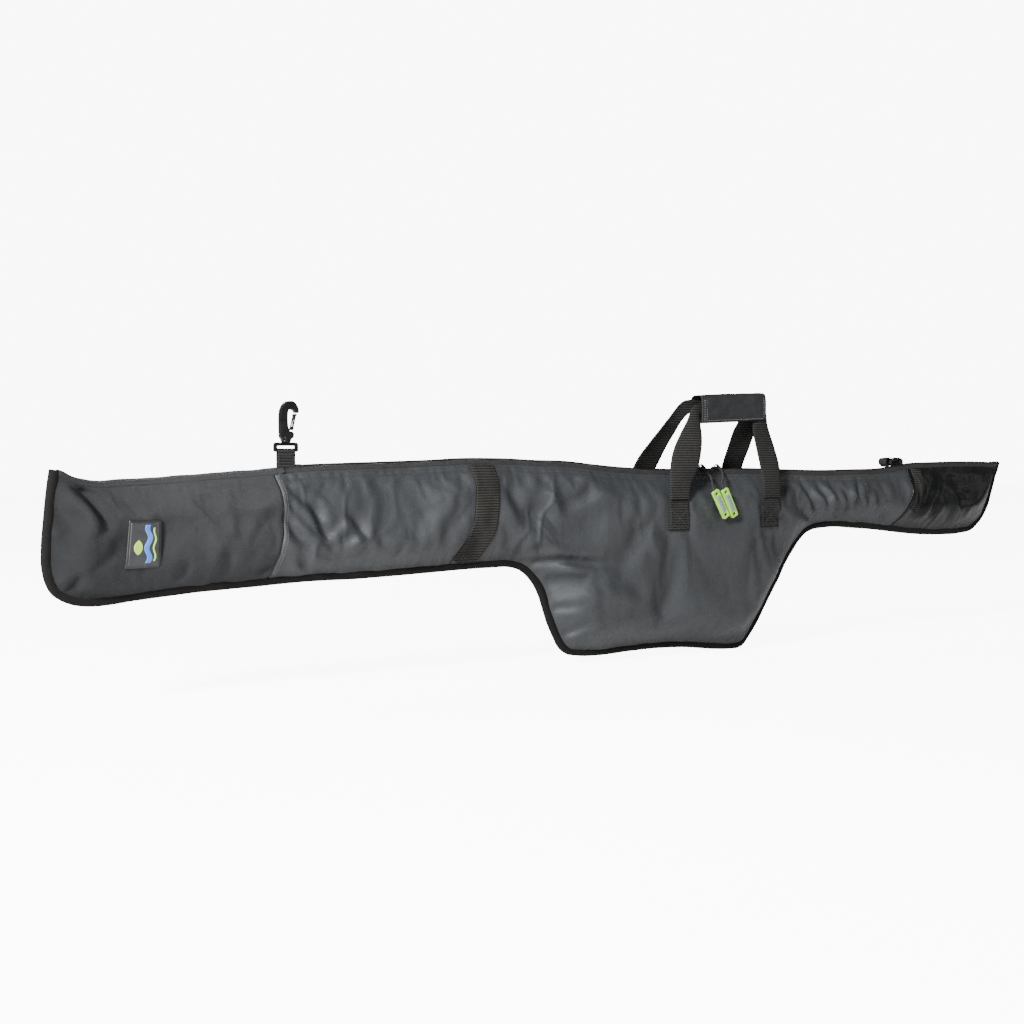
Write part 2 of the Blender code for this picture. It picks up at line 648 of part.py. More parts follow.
def grip_piece(name, line, thickness, stations, finish, origin):
    """A (y, z) line thickened to its left and extruded through the x stations."""
    points = np.array(line, float)
    offset = []
    for i, point in enumerate(points):
        along_y, along_z = tangent(points, i)
        offset.append(point + thickness * np.array([-along_z, along_y]))
    geometry = shell([[(x, y, z) for y, z in points] for x in stations],
                     [[(x, y, z) for y, z in offset] for x in stations])
    add_object(name, geometry, finish, origin)


handle_strap("handle_strap_front", FRONT_STRAP, FRONT_AXIS)
handle_strap("handle_strap_back", BACK_STRAP, BACK_AXIS)
grip_piece("grip_wrap_base",
           [(11.5, 404), (12.2, 415), (12.2, 430), (11.2, 442), (8.0, 449), (3.0, 452.5),
            (-1.0, 453)],
           3.0, (1154, 1205, 1255, 1306), GRIP_BASE, BACK_AXIS)
grip_piece("grip_wrap_flap",
           [(-4.2, 453.0), (-8.2, 451.6), (-11.6, 446), (-12.6, 436), (-12.6, 418),
            (-12.2, 405)],
           2.6, (1160, 1210, 1262, 1312), GRIP_FLAP, (1236.0, -3.2, 452.6))


# ---------------------------------------------------------------- webbing tabs and snap hook
def folded_tab(name, x, half_width, y, front_z, back_z, bend_z, half_gap, thickness,
               origin=NO_ORIGIN):
    """Folded webbing: two plies joined by a bend, open below."""
    def ply(radius):
        points = [(y - radius, front_z), (y - radius, bend_z)]
        for k in range(1, 6):
            angle = math.pi - math.pi * k / 6
            points.append((y + radius * math.cos(angle), bend_z + radius * math.sin(angle)))
        points += [(y + radius, bend_z), (y + radius, back_z)]
        return [[(end, py, pz) for py, pz in points] for end in (x - half_width, x + half_width)]

    geometry = shell(ply(half_gap + thickness), ply(half_gap))
    add_object(name, geometry, WEBBING, origin)


HOOK_X = 357.0
HOOK_Z = zip_z(HOOK_X)
HOOK_BEND = 24.5                     # height of the tab's bend and the ring's axis
# hook outlines: (x from the hook's middle, height above the zip line)
RING_OUTLINE = [(-18, 23.3), (18, 23.3), (19.5, 24.8), (19.5, 34.5), (17.5, 37), (-17.5, 37),
                (-19.5, 34.5), (-19.5, 24.8)]
RING_HOLE = [(-14.8, 25.7), (14.8, 25.7), (14.8, 32.2), (-14.8, 32.2)]
# the last point repeats the first
BODY_OUTLINE = [
    (-6, 37.4), (-6, 41.5), (-9.6, 43.5), (-9.8, 52), (-10, 74), (-9, 84), (-5, 92), (1, 96.6),
    (8, 97.8), (15, 94.5), (19.3, 87), (20, 79.8), (15, 79.8), (12.5, 83.5), (7.5, 85.6),
    (3.5, 85.4), (1.8, 80), (1.6, 70), (2.2, 60), (4.4, 53.5), (9.5, 52.5), (12, 50.5),
    (11.4, 43.5), (6, 41.5), (6, 37.4), (-6, 37.4),
]
GATE_OUTLINE = [(6.6, 54.6), (11.2, 54.6), (16.6, 78.6), (12.6, 78.6)]


def hook_piece(name, outline, holes, half_depth, finish, pivot):
    outline, *holes = ([(HOOK_X + x, HOOK_Z + z) for x, z in loop]
                       for loop in [outline] + holes)
    origin = (HOOK_X + pivot[0], 0.0, HOOK_Z + pivot[1])
    add_object(name, plate(outline, holes, -half_depth, half_depth), finish, origin)


folded_tab("hook_tab", HOOK_X, half_width=13.5, y=0.0, front_z=HOOK_Z - 1.0,
           back_z=HOOK_Z - 1.0, bend_z=HOOK_Z + HOOK_BEND, half_gap=2.0, thickness=1.3)
hook_piece("hook_ring", RING_OUTLINE, [RING_HOLE], 1.2, HOOK_METAL, pivot=(0.0, HOOK_BEND))
hook_piece("hook_body", BODY_OUTLINE, [], 3.6, HOOK_METAL, pivot=(0.0, 37.4))
hook_piece("hook_gate", GATE_OUTLINE, [], 1.8, GATE_METAL, pivot=(8.8, 55.4))

HANG_X = 1675.0
HANG_Z = zip_z(HANG_X)
folded_tab("hang_tab", HANG_X, half_width=27.0, y=11.4, front_z=HANG_Z - 5.2,
           back_z=HANG_Z - 6.6, bend_z=HANG_Z + 6.0, half_gap=1.0, thickness=1.4,
           origin=FLAP_ORIGIN)
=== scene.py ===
"""A long, slim padded case with a zip along its top and two webbing handles meeting in a grip.

Shapes are laid out in case millimetres: x runs from the tip end (0) to the butt end (about 1983),
y from the front (negative) to the back (positive), z up. Meshes are stored in world metres about
ORIGIN. The back panel blends into the opening flap near the zip: that zone is called the mouth.
"""
import bpy
import math
import numpy as np
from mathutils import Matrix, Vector
from mathutils.geometry import tessellate_polygon


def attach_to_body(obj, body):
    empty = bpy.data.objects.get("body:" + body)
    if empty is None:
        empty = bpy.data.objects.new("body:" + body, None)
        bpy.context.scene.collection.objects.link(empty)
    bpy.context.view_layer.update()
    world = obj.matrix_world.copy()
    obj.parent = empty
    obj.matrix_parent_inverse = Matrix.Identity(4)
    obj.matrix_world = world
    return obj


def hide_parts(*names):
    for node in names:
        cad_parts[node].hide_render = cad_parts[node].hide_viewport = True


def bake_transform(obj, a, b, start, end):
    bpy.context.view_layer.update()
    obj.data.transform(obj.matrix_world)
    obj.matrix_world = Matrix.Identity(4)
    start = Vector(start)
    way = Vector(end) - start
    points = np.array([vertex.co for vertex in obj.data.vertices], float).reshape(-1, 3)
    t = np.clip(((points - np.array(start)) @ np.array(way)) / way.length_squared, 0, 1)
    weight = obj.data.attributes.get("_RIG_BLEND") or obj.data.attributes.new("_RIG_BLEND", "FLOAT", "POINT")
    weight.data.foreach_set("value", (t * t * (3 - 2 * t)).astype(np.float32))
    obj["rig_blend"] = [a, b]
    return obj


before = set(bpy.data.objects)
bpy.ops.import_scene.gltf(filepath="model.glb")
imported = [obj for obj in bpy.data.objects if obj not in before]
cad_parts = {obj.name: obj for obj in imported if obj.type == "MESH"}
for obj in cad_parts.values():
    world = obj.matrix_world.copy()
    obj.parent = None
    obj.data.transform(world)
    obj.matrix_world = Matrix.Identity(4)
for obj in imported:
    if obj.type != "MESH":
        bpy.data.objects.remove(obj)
SCENE = bpy.context.scene
ORIGIN = np.array([989.0, -3.0, 0.0])  # the world origin, in case millimetres
FRONT, BACK = -1, 1                    # sign of y on each side
SIDES = ((FRONT, "front"), (BACK, "back"))


def to_world(points):
    return (np.asarray(points, float) - ORIGIN) / 1000.0


# ------------------------------------------------------------------ outline
# (x, z) along the lower edge
BOTTOM = [
    (0, 174), (8, 160), (20, 151), (34, 145), (60, 141), (117, 145), (206, 152), (298, 156),
    (396, 160), (472, 160), (606, 164), (719, 167), (758, 166), (790, 152), (814, 122), (836, 66),
    (858, 28), (890, 14), (933, 11), (1000, 13), (1064, 14), (1133, 11), (1204, 3), (1240, 1),
    (1268, 6), (1290, 30), (1313, 60), (1350, 114), (1388, 168), (1427, 203), (1466, 211),
    (1547, 209), (1630, 202), (1716, 193), (1805, 189), (1860, 190), (1897, 196), (1925, 214)]
# (x, z) along the top edge
TOP = [
    (7, 327), (23, 324), (36, 317), (55, 312.5), (118, 313), (162, 315), (207, 318), (253, 321),
    (300, 324), (340, 327), (372, 330), (447, 333), (525, 335), (606, 337.5), (662, 340),
    (719, 340), (748, 339.5), (800, 337), (869, 335), (932, 329), (980, 325), (1097, 321),
    (1192, 321.5), (1274, 321.5), (1387, 318.5), (1465, 317), (1546, 318), (1629, 320),
    (1680, 326), (1714, 329.5), (1758, 330.5), (1848, 332), (1942, 331), (1983, 329)]
# the bound edge: (x, z) up the tip end, x stations along BOTTOM, (x, z) up the butt end
TIP_END = [(7, 326), (3, 300), (-1, 266), (-5, 222), (-4.5, 192)]
EDGE_STATIONS = (
    0, 8, 20, 34, 60, 88, 117, 160, 206, 252, 298, 350, 396, 472, 540, 606, 660, 719, 758, 776,
    790, 803, 814, 825, 836, 847, 858, 872, 890, 933, 1000, 1064, 1100, 1133, 1170, 1204, 1240,
    1256, 1268, 1280, 1290, 1313, 1350, 1388, 1406, 1427, 1446, 1466, 1500, 1547, 1590, 1630,
    1672, 1716, 1760, 1805, 1860, 1897, 1912, 1925)
BUTT_END = [(1943, 239), (1962, 281), (1981.5, 329)]


def hermite(t, span, start, start_slope, end, end_slope):
    return ((2 * t**3 - 3 * t**2 + 1) * start + (t**3 - 2 * t**2 + t) * span * start_slope
            + (-2 * t**3 + 3 * t**2) * end + (t**3 - t**2) * span * end_slope)


def curve(points, x):
    """Height at x of a smooth curve through (x, z) points."""
    xs = np.array([p[0] for p in points], float)
    zs = np.array([p[1] for p in points], float)
    slope = np.gradient(zs, xs)
    x = np.asarray(x, float)
    k = np.clip(np.searchsorted(xs, x) - 1, 0, len(xs) - 2)
    span = xs[k + 1] - xs[k]
    t = np.clip((x - xs[k]) / span, 0, 1)
    return hermite(t, span, zs[k], slope[k], zs[k + 1], slope[k + 1])


def lengths(points):
    """Distance travelled at each point of a path."""
    return np.concatenate([[0], np.cumsum(np.linalg.norm(np.diff(points, axis=0), axis=1))])


def smooth_path(points, step):
    """Even points about a step apart on a smooth path through points of any dimension."""
    points = np.array(points, float)
    travel = lengths(points)
    count = max(2, int(travel[-1] / step))
    wanted = np.linspace(0, travel[-1], count + 1)
    slope = np.gradient(points, travel, axis=0)
    k = np.clip(np.searchsorted(travel, wanted) - 1, 0, len(travel) - 2)
    span = (travel[k + 1] - travel[k])[:, None]
    t = (wanted - travel[k])[:, None] / span
    return hermite(t, span, points[k], slope[k], points[k + 1], slope[k + 1])


def directions(path):
    tangent = np.gradient(path, axis=0)
    return tangent / np.linalg.norm(tangent, axis=1)[:, None]


def top_z(x):
    return float(curve(TOP, x))


EDGE = TIP_END + [(float(x), float(curve(BOTTOM, x))) for x in EDGE_STATIONS] + BUTT_END
EDGE_PATH = smooth_path(EDGE, 9.0)


def edge_distance(x, z):
    """Distance to the bound edge and place along it."""
    start, delta = EDGE_PATH[:-1], np.diff(EDGE_PATH, axis=0)
    square = (delta * delta).sum(1)
    travel = np.concatenate([[0], np.cumsum(np.sqrt(square))])
    shape = x.shape
    x, z = x.ravel(), z.ravel()
    nearest = np.full(x.shape, 1e9)
    along = np.zeros(x.shape)
    for i in range(len(start)):
        dx, dz = delta[i]
        t = np.clip(((x - start[i, 0]) * dx + (z - start[i, 1]) * dz) / square[i], 0, 1)
        distance = np.hypot(x - start[i, 0] - t * dx, z - start[i, 1] - t * dz)
        closer = distance < nearest
        nearest[closer] = distance[closer]
        along[closer] = travel[i] + t[closer] * math.sqrt(square[i])
    return nearest.reshape(shape), along.reshape(shape)


# ------------------------------------------------------------------ relief of the cloth
def ease(t):
    t = np.clip(t, 0, 1)
    return t * t * (3 - 2 * t)


def rise(t):
    """Rounded rise from 0 to 1, steep at the start."""
    t = np.clip(t, 0, 1)
    return 0.7 * np.sin(t * math.pi / 2) + 0.3 * ease(t)


def half_thickness(x):
    deep_part = ease((x - 740) / 200) * (1 - ease((x - 1250) / 180))
    return 34.0 + 12.0 * deep_part


def waves(x, z, seed, count, x_span, z_span, height):
    """Sum of random plane waves; the spans are ranges of wavelength."""
    draw = np.random.RandomState(seed)
    total = np.zeros_like(x)
    for _ in range(count):
        kx = 2 * math.pi / draw.uniform(*x_span) * draw.choice([-1, 1])
        kz = 2 * math.pi / draw.uniform(*z_span)
        total += np.sin(kx * x + kz * z + draw.uniform(0, 6.28))
    return height * total / math.sqrt(count)


# folds: path of (x, z), height (outward is positive), half width
FOLDS = {
    FRONT: [
        ([(24, 318), (34, 309), (52, 290), (80, 246)], -9, 9),
        ([(14, 303), (38, 277), (64, 240)], 6, 15),
        ([(352, 292), (379, 273), (408, 247)], -4.0, 8),
        ([(388, 285), (398, 246), (426, 200)], -3.6, 8),
        ([(436, 262), (463, 242), (470, 215)], -3.4, 8),
        ([(402, 202), (423, 225), (455, 250)], 2.6, 8),
        ([(366, 202), (386, 174)], -4, 8), ([(334, 266), (366, 218)], -3.5, 9),
        ([(441, 201), (472, 227)], 3.5, 8), ([(350, 250), (372, 236), (392, 214)], 3, 8),
        ([(168, 168), (194, 198)], -3.5, 9), ([(40, 192), (31, 158)], -3, 9),
        ([(256, 220), (242, 174)], -2.6, 10), ([(300, 173), (332, 196)], -3.5, 8),
        ([(0, 255), (18, 233)], 3, 12), ([(803, 304), (817, 273), (837, 234)], 4.5, 13),
        ([(735, 299), (748, 274), (770, 248)], -4, 13),
        ([(830, 258), (881, 277), (930, 290)], -4, 12),
        ([(764, 170), (827, 175), (882, 170), (955, 160)], -6, 7),
        ([(780, 201), (826, 185)], -3.5, 9), ([(790, 152), (850, 156), (905, 150)], 2.5, 9),
        ([(792, 100), (840, 96), (890, 104)], -2.6, 7),
        ([(807, 91), (868, 112), (931, 117), (1005, 93)], 2.6, 14),
        ([(841, 46), (896, 67), (950, 85)], -2.6, 12), ([(868, 304), (915, 311)], 2.5, 11),
        ([(744, 242), (794, 252), (844, 238)], -3, 13),
        ([(1002, 236), (1053, 207), (1070, 174)], -2, 16), ([(1324, 272), (1360, 303)], -3.5, 9),
        ([(1392, 303), (1417, 263), (1424, 222)], -4, 8),
        ([(1445, 296), (1465, 268), (1471, 234)], 4, 8),
        ([(1489, 288), (1510, 262), (1510, 228)], -3.5, 8),
        ([(1556, 306), (1536, 274), (1531, 242)], -3.5, 8),
        ([(1366, 254), (1409, 233), (1448, 218)], -3.5, 8), ([(1584, 282), (1572, 230)], 2.6, 8),
        ([(1418, 284), (1460, 241)], 3.5, 8), ([(1302, 228), (1340, 241)], -3, 9),
        ([(1480, 260), (1496, 226)], -2.6, 7), ([(1600, 250), (1622, 222)], -2.4, 8),
        ([(1718, 214), (1743, 264), (1780, 308)], 5, 9), ([(1697, 302), (1711, 240)], -3.5, 9),
        ([(1832, 212), (1878, 280)], 2.6, 15), ([(1765, 300), (1790, 255), (1800, 215)], -2.4, 14),
        ([(560, 300), (590, 240)], -1.6, 16), ([(520, 190), (545, 215)], -2.2, 9)],
    BACK: [
        ([(30, 312), (60, 270), (90, 240)], -6, 12), ([(350, 286), (395, 240)], -4, 9),
        ([(420, 268), (450, 215)], 3.5, 9), ([(170, 168), (200, 200)], -3, 9),
        ([(760, 290), (800, 240)], -4, 13), ([(790, 170), (880, 178), (950, 165)], -3.5, 9),
        ([(820, 90), (900, 115), (990, 95)], 4, 15), ([(1150, 60), (1210, 90)], -3, 12),
        ([(1330, 270), (1370, 300)], -3.5, 9), ([(1400, 296), (1425, 225)], -4, 8),
        ([(1500, 285), (1515, 230)], -3.5, 8), ([(1580, 290), (1560, 235)], 3, 8),
        ([(1720, 215), (1770, 300)], 4, 10), ([(560, 290), (600, 220)], -2.5, 13),
        ([(1000, 190), (1120, 170), (1220, 186)], -2.5, 14)]}
FOLD_GAIN = 1.6

# where the cloth is slack: centre x, z, radius along x, z, amount
SLACK = [
    (405, 236, 70, 60, 1.0), (352, 260, 30, 60, 0.5), (800, 235, 75, 90, 0.75),
    (860, 105, 70, 50, 0.15), (560, 250, 60, 80, 0.35), (60, 280, 70, 60, 0.5),
    (230, 165, 110, 26, 0.75), (1400, 260, 80, 60, 0.8), (1550, 260, 95, 60, 0.85),
    (1740, 260, 60, 70, 0.7), (1850, 240, 60, 60, 0.5), (1300, 230, 60, 50, 0.5),
    (1000, 205, 60, 60, 0.3)]

# seams between the panels: foot z, height, foot x, lean along x, bow along x
TIP_SEAM = (156, 170.0, 323, 10, 9)
BUTT_SEAM = (200, 118.0, 1650, 42, 7)


def fold_relief(x, z, folds):
    """A groove or ridge along each path, with shallow counter-swells beside it."""
    relief = np.zeros_like(x)
    for points, height, width in folds:
        height = height * FOLD_GAIN
        path = smooth_path(points, 6.0)
        low, high = path.min(0) - 5 * width, path.max(0) + 5 * width
        near = (x > low[0]) & (x < high[0]) & (z > low[1]) & (z < high[1])
        if not near.any():
            continue
        px, pz = x[near], z[near]
        nearest = np.full(px.shape, 1e9)
        sign = np.zeros(px.shape)
        along = np.zeros(px.shape)
        for i in range(len(path) - 1):
            start, delta = path[i], path[i + 1] - path[i]
            rx, rz = px - start[0], pz - start[1]
            t = np.clip((rx * delta[0] + rz * delta[1]) / (delta * delta).sum(), 0, 1)
            distance = np.hypot(rx - t * delta[0], rz - t * delta[1])
            cross = rx * delta[1] - rz * delta[0]
            closer = distance < nearest
            nearest[closer] = distance[closer]
            sign[closer] = np.sign(cross[closer])
            along[closer] = (i + t[closer]) / (len(path) - 1)
        s = nearest * sign
        taper = np.clip(np.sin(np.clip(along, 0, 1) * math.pi), 0, 1) ** 1.1
        relief[near] += taper * (height * np.exp(-(s / width) ** 2)
                                 - 0.5 * height * np.exp(-((s - 1.7 * width) / (1.2 * width)) ** 2)
                                 - 0.25 * height * np.exp(-((s + 1.9 * width) / (1.4 * width)) ** 2))
    return relief


def ridges(x, z, seed, x_span, z_span, gate_x, gate_z, width, bias):
    """Ridges along the zero lines of one wave field, let through by a second."""
    field = waves(x, z, seed, 8, x_span, z_span, 1.0)
    gate = waves(x, z, seed + 1, 5, gate_x, gate_z, 1.0)
    return np.exp(-(field / width) ** 2) * ease(bias + 0.8 * gate)


def creases(x, z, seed):
    """Meandering sharp ridges with finer grooves among them."""
    raised = ridges(x, z, seed, x_span=(60, 150), z_span=(80, 260), gate_x=(70, 170),
                    gate_z=(80, 200), width=0.24, bias=0.45)
    sunk = ridges(x, z, seed + 2, x_span=(40, 95), z_span=(60, 160), gate_x=(60, 140),
                  gate_z=(80, 180), width=0.3, bias=0.4)
    return raised * 3.4 - sunk * 1.9


def slack(x, z):
    amount = 0.10 + 0 * x
    for cx, cz, rx, rz, peak in SLACK:
        amount = np.maximum(amount, peak * np.exp(-((x - cx) / rx) ** 2 - ((z - cz) / rz) ** 2))
    return amount


def seam_x(seam, z):
    foot_z, height, foot_x, lean, bow = seam
    s = np.clip((z - foot_z) / height, 0, 1)
    return foot_x + lean * s + bow * np.sin(math.pi * s)


DRAPE = {}                  # side: grid of heights left by the cloth simulation
CELL_X, CELL_Z = 6.0, 5.0   # spacing of those grids
CELL_MARGIN = 4             # spare cells before x = 0 and z = 0


def drape_at(x, z, side):
    """Height left by the cloth simulation, read between its grid points."""
    grid = DRAPE[side]
    u = np.clip(x / CELL_X + CELL_MARGIN, 0, grid.shape[0] - 1.001)
    v = np.clip(z / CELL_Z + CELL_MARGIN, 0, grid.shape[1] - 1.001)
    i, j = u.astype(int), v.astype(int)
    a, b = u - i, v - j
    return (grid[i, j] * (1 - a) * (1 - b) + grid[i + 1, j] * a * (1 - b)
            + grid[i, j + 1] * (1 - a) * b + grid[i + 1, j + 1] * a * b)


def skin(x, z, side=FRONT, fine=True):
    """Distance of the outer cloth from the middle plane; fine adds all the relief."""
    x = np.asarray(x, float)
    z = np.asarray(z, float)
    edge, along = edge_distance(x, z)
    drop = curve(TOP, x) - z
    swell = rise((edge - 7.0) / 56.0)
    shoulder = rise((drop - 9.0) / 50.0)
    y = 4.4 * (1 - swell) + swell * (11.5 * (1 - shoulder) + half_thickness(x) * shoulder)
    if not fine:
        return y
    seed = 11 if side == FRONT else 57
    # broad and narrow undulations, kept off the edges and calmer in places
    inner = ease((edge - 8) / 28) * ease((drop - 10) / 26)
    calm = (1 - 0.6 * ease((x - 950) / 100) * (1 - ease((x - 1230) / 80))
            * ease((z - 90) / 60))
    tip_calm = 1 - 0.55 * (x < 330)
    y = y + inner * waves(x, z, seed, 12, (140, 330), (70, 200), height=2.6) * calm
    gate = ease(0.5 + 0.5 * waves(x, z, seed + 1, 4, (160, 400), (200, 500), height=1.0))
    y = y + inner * gate * waves(x, z, seed + 2, 14, (30, 85), (60, 220),
                                 height=1.35) * calm * tip_calm
    # puckers beside the bound edge, then beside the top edge
    y = y + (ease((edge - 8) / 6) * np.exp(-np.clip(edge - 8, 0, None) / 16)
             * waves(along, edge * 0.3, seed + 3, 9, (13, 30), (60, 200), height=0.75) * 1.2)
    y = y + (ease((drop - 10) / 5) * np.exp(-np.clip(drop - 14, 0, None) / 12)
             * waves(x, z * 0, seed + 4, 9, (12, 34), (900, 1200), height=0.45))
    if side in DRAPE:
        y = y + drape_at(x, z, side) * ease((edge - 9) / 10) * ease((drop - 20) / 10)
    y = y + (creases(x, z, seed + 20) * slack(x, z)
             * ease((edge - 9) / 16) * ease((drop - 14) / 14))
    # the stitched line under the zip pulls the cloth in
    zipped = ease((x - 345) / 12) * (1 - ease((x - 1655) / 20))
    y = y - zipped * 1.2 * np.exp(-((drop - 19) / 3.2) ** 2)
    y = y + (fold_relief(x, z, FOLDS[side])
             * ease((edge - 7) / 12) * ease((drop - 9) / 10))
    for seam in (TIP_SEAM, BUTT_SEAM):
        off = x - seam_x(seam, z)
        inside = ease((edge - 6) / 6)
        y = (y - 1.3 * np.exp(-(off / 2.4) ** 2) * inside
             + 0.5 * np.exp(-((off - 6) / 4.0) ** 2) * inside)
    return y


# ------------------------------------------------------------------ materials
def new_material(name):
    material = bpy.data.materials.new(name)
    material.use_nodes = True
    tree = material.node_tree
    tree.nodes.clear()
    output = tree.nodes.new("ShaderNodeOutputMaterial")
    shader = tree.nodes.new("ShaderNodeBsdfPrincipled")
    tree.links.new(shader.outputs[0], output.inputs[0])
    coords = tree.nodes.new("ShaderNodeTexCoord")
    return material, tree, shader, coords


def find_node(tree, kind):
    return next(node for node in tree.nodes if node.type == kind)


def noise(tree, coords, scale, detail, roughness=0.55):
    node = tree.nodes.new("ShaderNodeTexNoise")
    node.inputs["Scale"].default_value = scale
    node.inputs["Detail"].default_value = detail
    node.inputs["Roughness"].default_value = roughness
    tree.links.new(coords.outputs["Object"], node.inputs["Vector"])
    return node.outputs[0]


def ramp(tree, value, *colours):
    """Blends two colours as the value goes from 0.3 to 0.7."""
    node = tree.nodes.new("ShaderNodeValToRGB")
    for element, position, colour in zip(node.color_ramp.elements, (0.3, 0.7), colours):
        element.position = position
        element.color = (*colour, 1)
    tree.links.new(value, node.inputs[0])
    return node.outputs[0]


def bands(tree, coords, scale, direction):
    node = tree.nodes.new("ShaderNodeTexWave")
    node.bands_direction = direction
    node.inputs["Scale"].default_value = scale
    tree.links.new(coords.outputs["Object"], node.inputs["Vector"])
    return node.outputs[1]


def math_node(tree, operation, *values):
    node = tree.nodes.new("ShaderNodeMath")
    node.operation = operation
    for socket, value in zip(node.inputs, values):
        if isinstance(value, (int, float)):
            socket.default_value = value
        else:
            tree.links.new(value, socket)
    return node.outputs[0]


def add_bumps(tree, shader, layers):
    """layers: (height socket, strength, distance), each bump feeding the next."""
    previous = None
    for height, strength, distance in layers:
        node = tree.nodes.new("ShaderNodeBump")
        node.inputs["Strength"].default_value = strength
        node.inputs["Distance"].default_value = distance
        tree.links.new(height, node.inputs["Height"])
        if previous is not None:
            tree.links.new(previous.outputs[0], node.inputs["Normal"])
        previous = node
    tree.links.new(previous.outputs[0], shader.inputs["Normal"])


def cloth(name, dark, light, *, rough, weave, depth, specular=0.4, crumple=0.5):
    """Woven cloth: weave is the band scale, depth its relief, crumple the larger relief."""
    material, tree, shader, coords = new_material(name)
    blotches = noise(tree, coords, scale=9.0, detail=4)
    colour = ramp(tree, blotches, dark, light)
    grain = noise(tree, coords, scale=900.0, detail=2)
    mix = tree.nodes.new("ShaderNodeMix")
    mix.data_type = "RGBA"
    mix.blend_type = "OVERLAY"
    mix.inputs[0].default_value = 0.25  # share of the grain
    tree.links.new(colour, mix.inputs[6])
    tree.links.new(grain, mix.inputs[7])
    tree.links.new(mix.outputs[2], shader.inputs["Base Color"])
    roughness = ramp(tree, blotches, (rough - 0.06,) * 3, (rough + 0.08,) * 3)
    tree.links.new(roughness, shader.inputs["Roughness"])
    shader.inputs["Specular IOR Level"].default_value = specular
    shader.inputs["Sheen Roughness"].default_value = 0.45
    shader.inputs["Coat Roughness"].default_value = 0.22
    threads = [bands(tree, coords, weave, direction) for direction in "XZ"]
    grid = math_node(tree, "MAXIMUM", *threads)
    lumps = noise(tree, coords, scale=55.0, detail=5, roughness=0.6)
    add_bumps(tree, shader, [(lumps, crumple, 0.0035), (grid, 0.5, depth), (grain, 0.25, 0.0006)])
    return material


def hard(name, dark, light, *, rough, metallic=0.0, scale=60.0, grain=0.15, specular=0.5):
    """Smooth solid: scale is that of the mottling, grain the strength of the fine relief."""
    material, tree, shader, coords = new_material(name)
    mottle = noise(tree, coords, scale, detail=4)
    tree.links.new(ramp(tree, mottle, dark, light), shader.inputs["Base Color"])
    roughness = ramp(tree, mottle, (rough * 0.85,) * 3, (min(1.0, rough * 1.25),) * 3)
    tree.links.new(roughness, shader.inputs["Roughness"])
    shader.inputs["Metallic"].default_value = metallic
    shader.inputs["Specular IOR Level"].default_value = specular
    add_bumps(tree, shader, [(noise(tree, coords, scale * 22, detail=2), grain, 0.0003)])
    return material


def scale_colour(tree, source, ranges, interpolation="LINEAR"):
    """Multiplies the base colour by the source; ranges: from low, from high, to low, to high."""
    colour = find_node(tree, "BSDF_PRINCIPLED").inputs["Base Color"]
    mapped = tree.nodes.new("ShaderNodeMapRange")
    mapped.interpolation_type = interpolation
    for k, value in enumerate(ranges):
        mapped.inputs[k + 1].default_value = value
    tree.links.new(source, mapped.inputs[0])
    product = tree.nodes.new("ShaderNodeVectorMath")
    product.operation = "SCALE"
    tree.links.new(colour.links[0].from_socket, product.inputs[0])
    tree.links.new(mapped.outputs[0], product.inputs["Scale"])
    tree.links.new(product.outputs[0], colour)


def darken_tip(material):
    """Darkens the cloth toward the tip end."""
    tree = material.node_tree
    split = tree.nodes.new("ShaderNodeSeparateXYZ")
    tree.links.new(find_node(tree, "TEX_COORD").outputs["Object"], split.inputs[0])
    scale_colour(tree, split.outputs[0], (-0.99, -0.80, 0.35, 1.0), "SMOOTHSTEP")


def paint_rib_shade_and_highlight(material):
    # painted shade between the ribs and painted highlight on them: the base colour is scaled from 0.35 to
    # 1.7 in stripes along z
    tree = material.node_tree
    ribs = bands(tree, find_node(tree, "TEX_COORD"), 74.8, "Z")
    scale_colour(tree, ribs, (0.15, 0.85, 0.35, 1.7))


MAIN = cloth("main_cloth", (0.018, 0.0196, 0.0214), (0.025, 0.027, 0.0293),
             rough=0.46, weave=700.0, depth=0.0002, specular=0.34, crumple=0.22)
TIP = cloth("tip_cloth", (0.017, 0.0182, 0.0195), (0.026, 0.0275, 0.029),
            rough=0.6, weave=300.0, depth=0.0022, specular=0.2, crumple=0.25)
darken_tip(TIP)
BUTT = cloth("butt_cloth", (0.0016, 0.0017, 0.002), (0.003, 0.0032, 0.0037),
             rough=0.26, weave=900.0, depth=0.0001, specular=0.2, crumple=0.14)
LINING = cloth("lining_cloth", (0.008, 0.008, 0.009), (0.013, 0.013, 0.014),
               rough=0.7, weave=500.0, depth=0.0003)
BINDING = cloth("binding_tape", (0.0035, 0.0033, 0.0031), (0.0055, 0.005, 0.0047),
                rough=0.75, weave=600.0, depth=0.0004, specular=0.12)
WEBBING = cloth("webbing", (0.0085, 0.0082, 0.0078), (0.018, 0.0174, 0.0165),
                rough=0.7, weave=420.0, depth=0.0008, specular=0.14, crumple=0.25)
BAND = cloth("band_webbing", (0.0125, 0.0118, 0.0106), (0.023, 0.0218, 0.0196),
             rough=0.7, weave=420.0, depth=0.0009, specular=0.14, crumple=0.25)
# painted shade between the ribs and painted highlight on the ribs of both webbings
paint_rib_shade_and_highlight(WEBBING)
paint_rib_shade_and_highlight(BAND)
GRIP = cloth("grip_cloth", (0.0085, 0.009, 0.0097), (0.0145, 0.0152, 0.0163),
             rough=0.55, weave=520.0, depth=0.0003, specular=0.25)
TAPE = cloth("zip_tape_cloth", (0.005, 0.005, 0.005), (0.011, 0.011, 0.011),
             rough=0.65, weave=650.0, depth=0.0004, crumple=0.3)
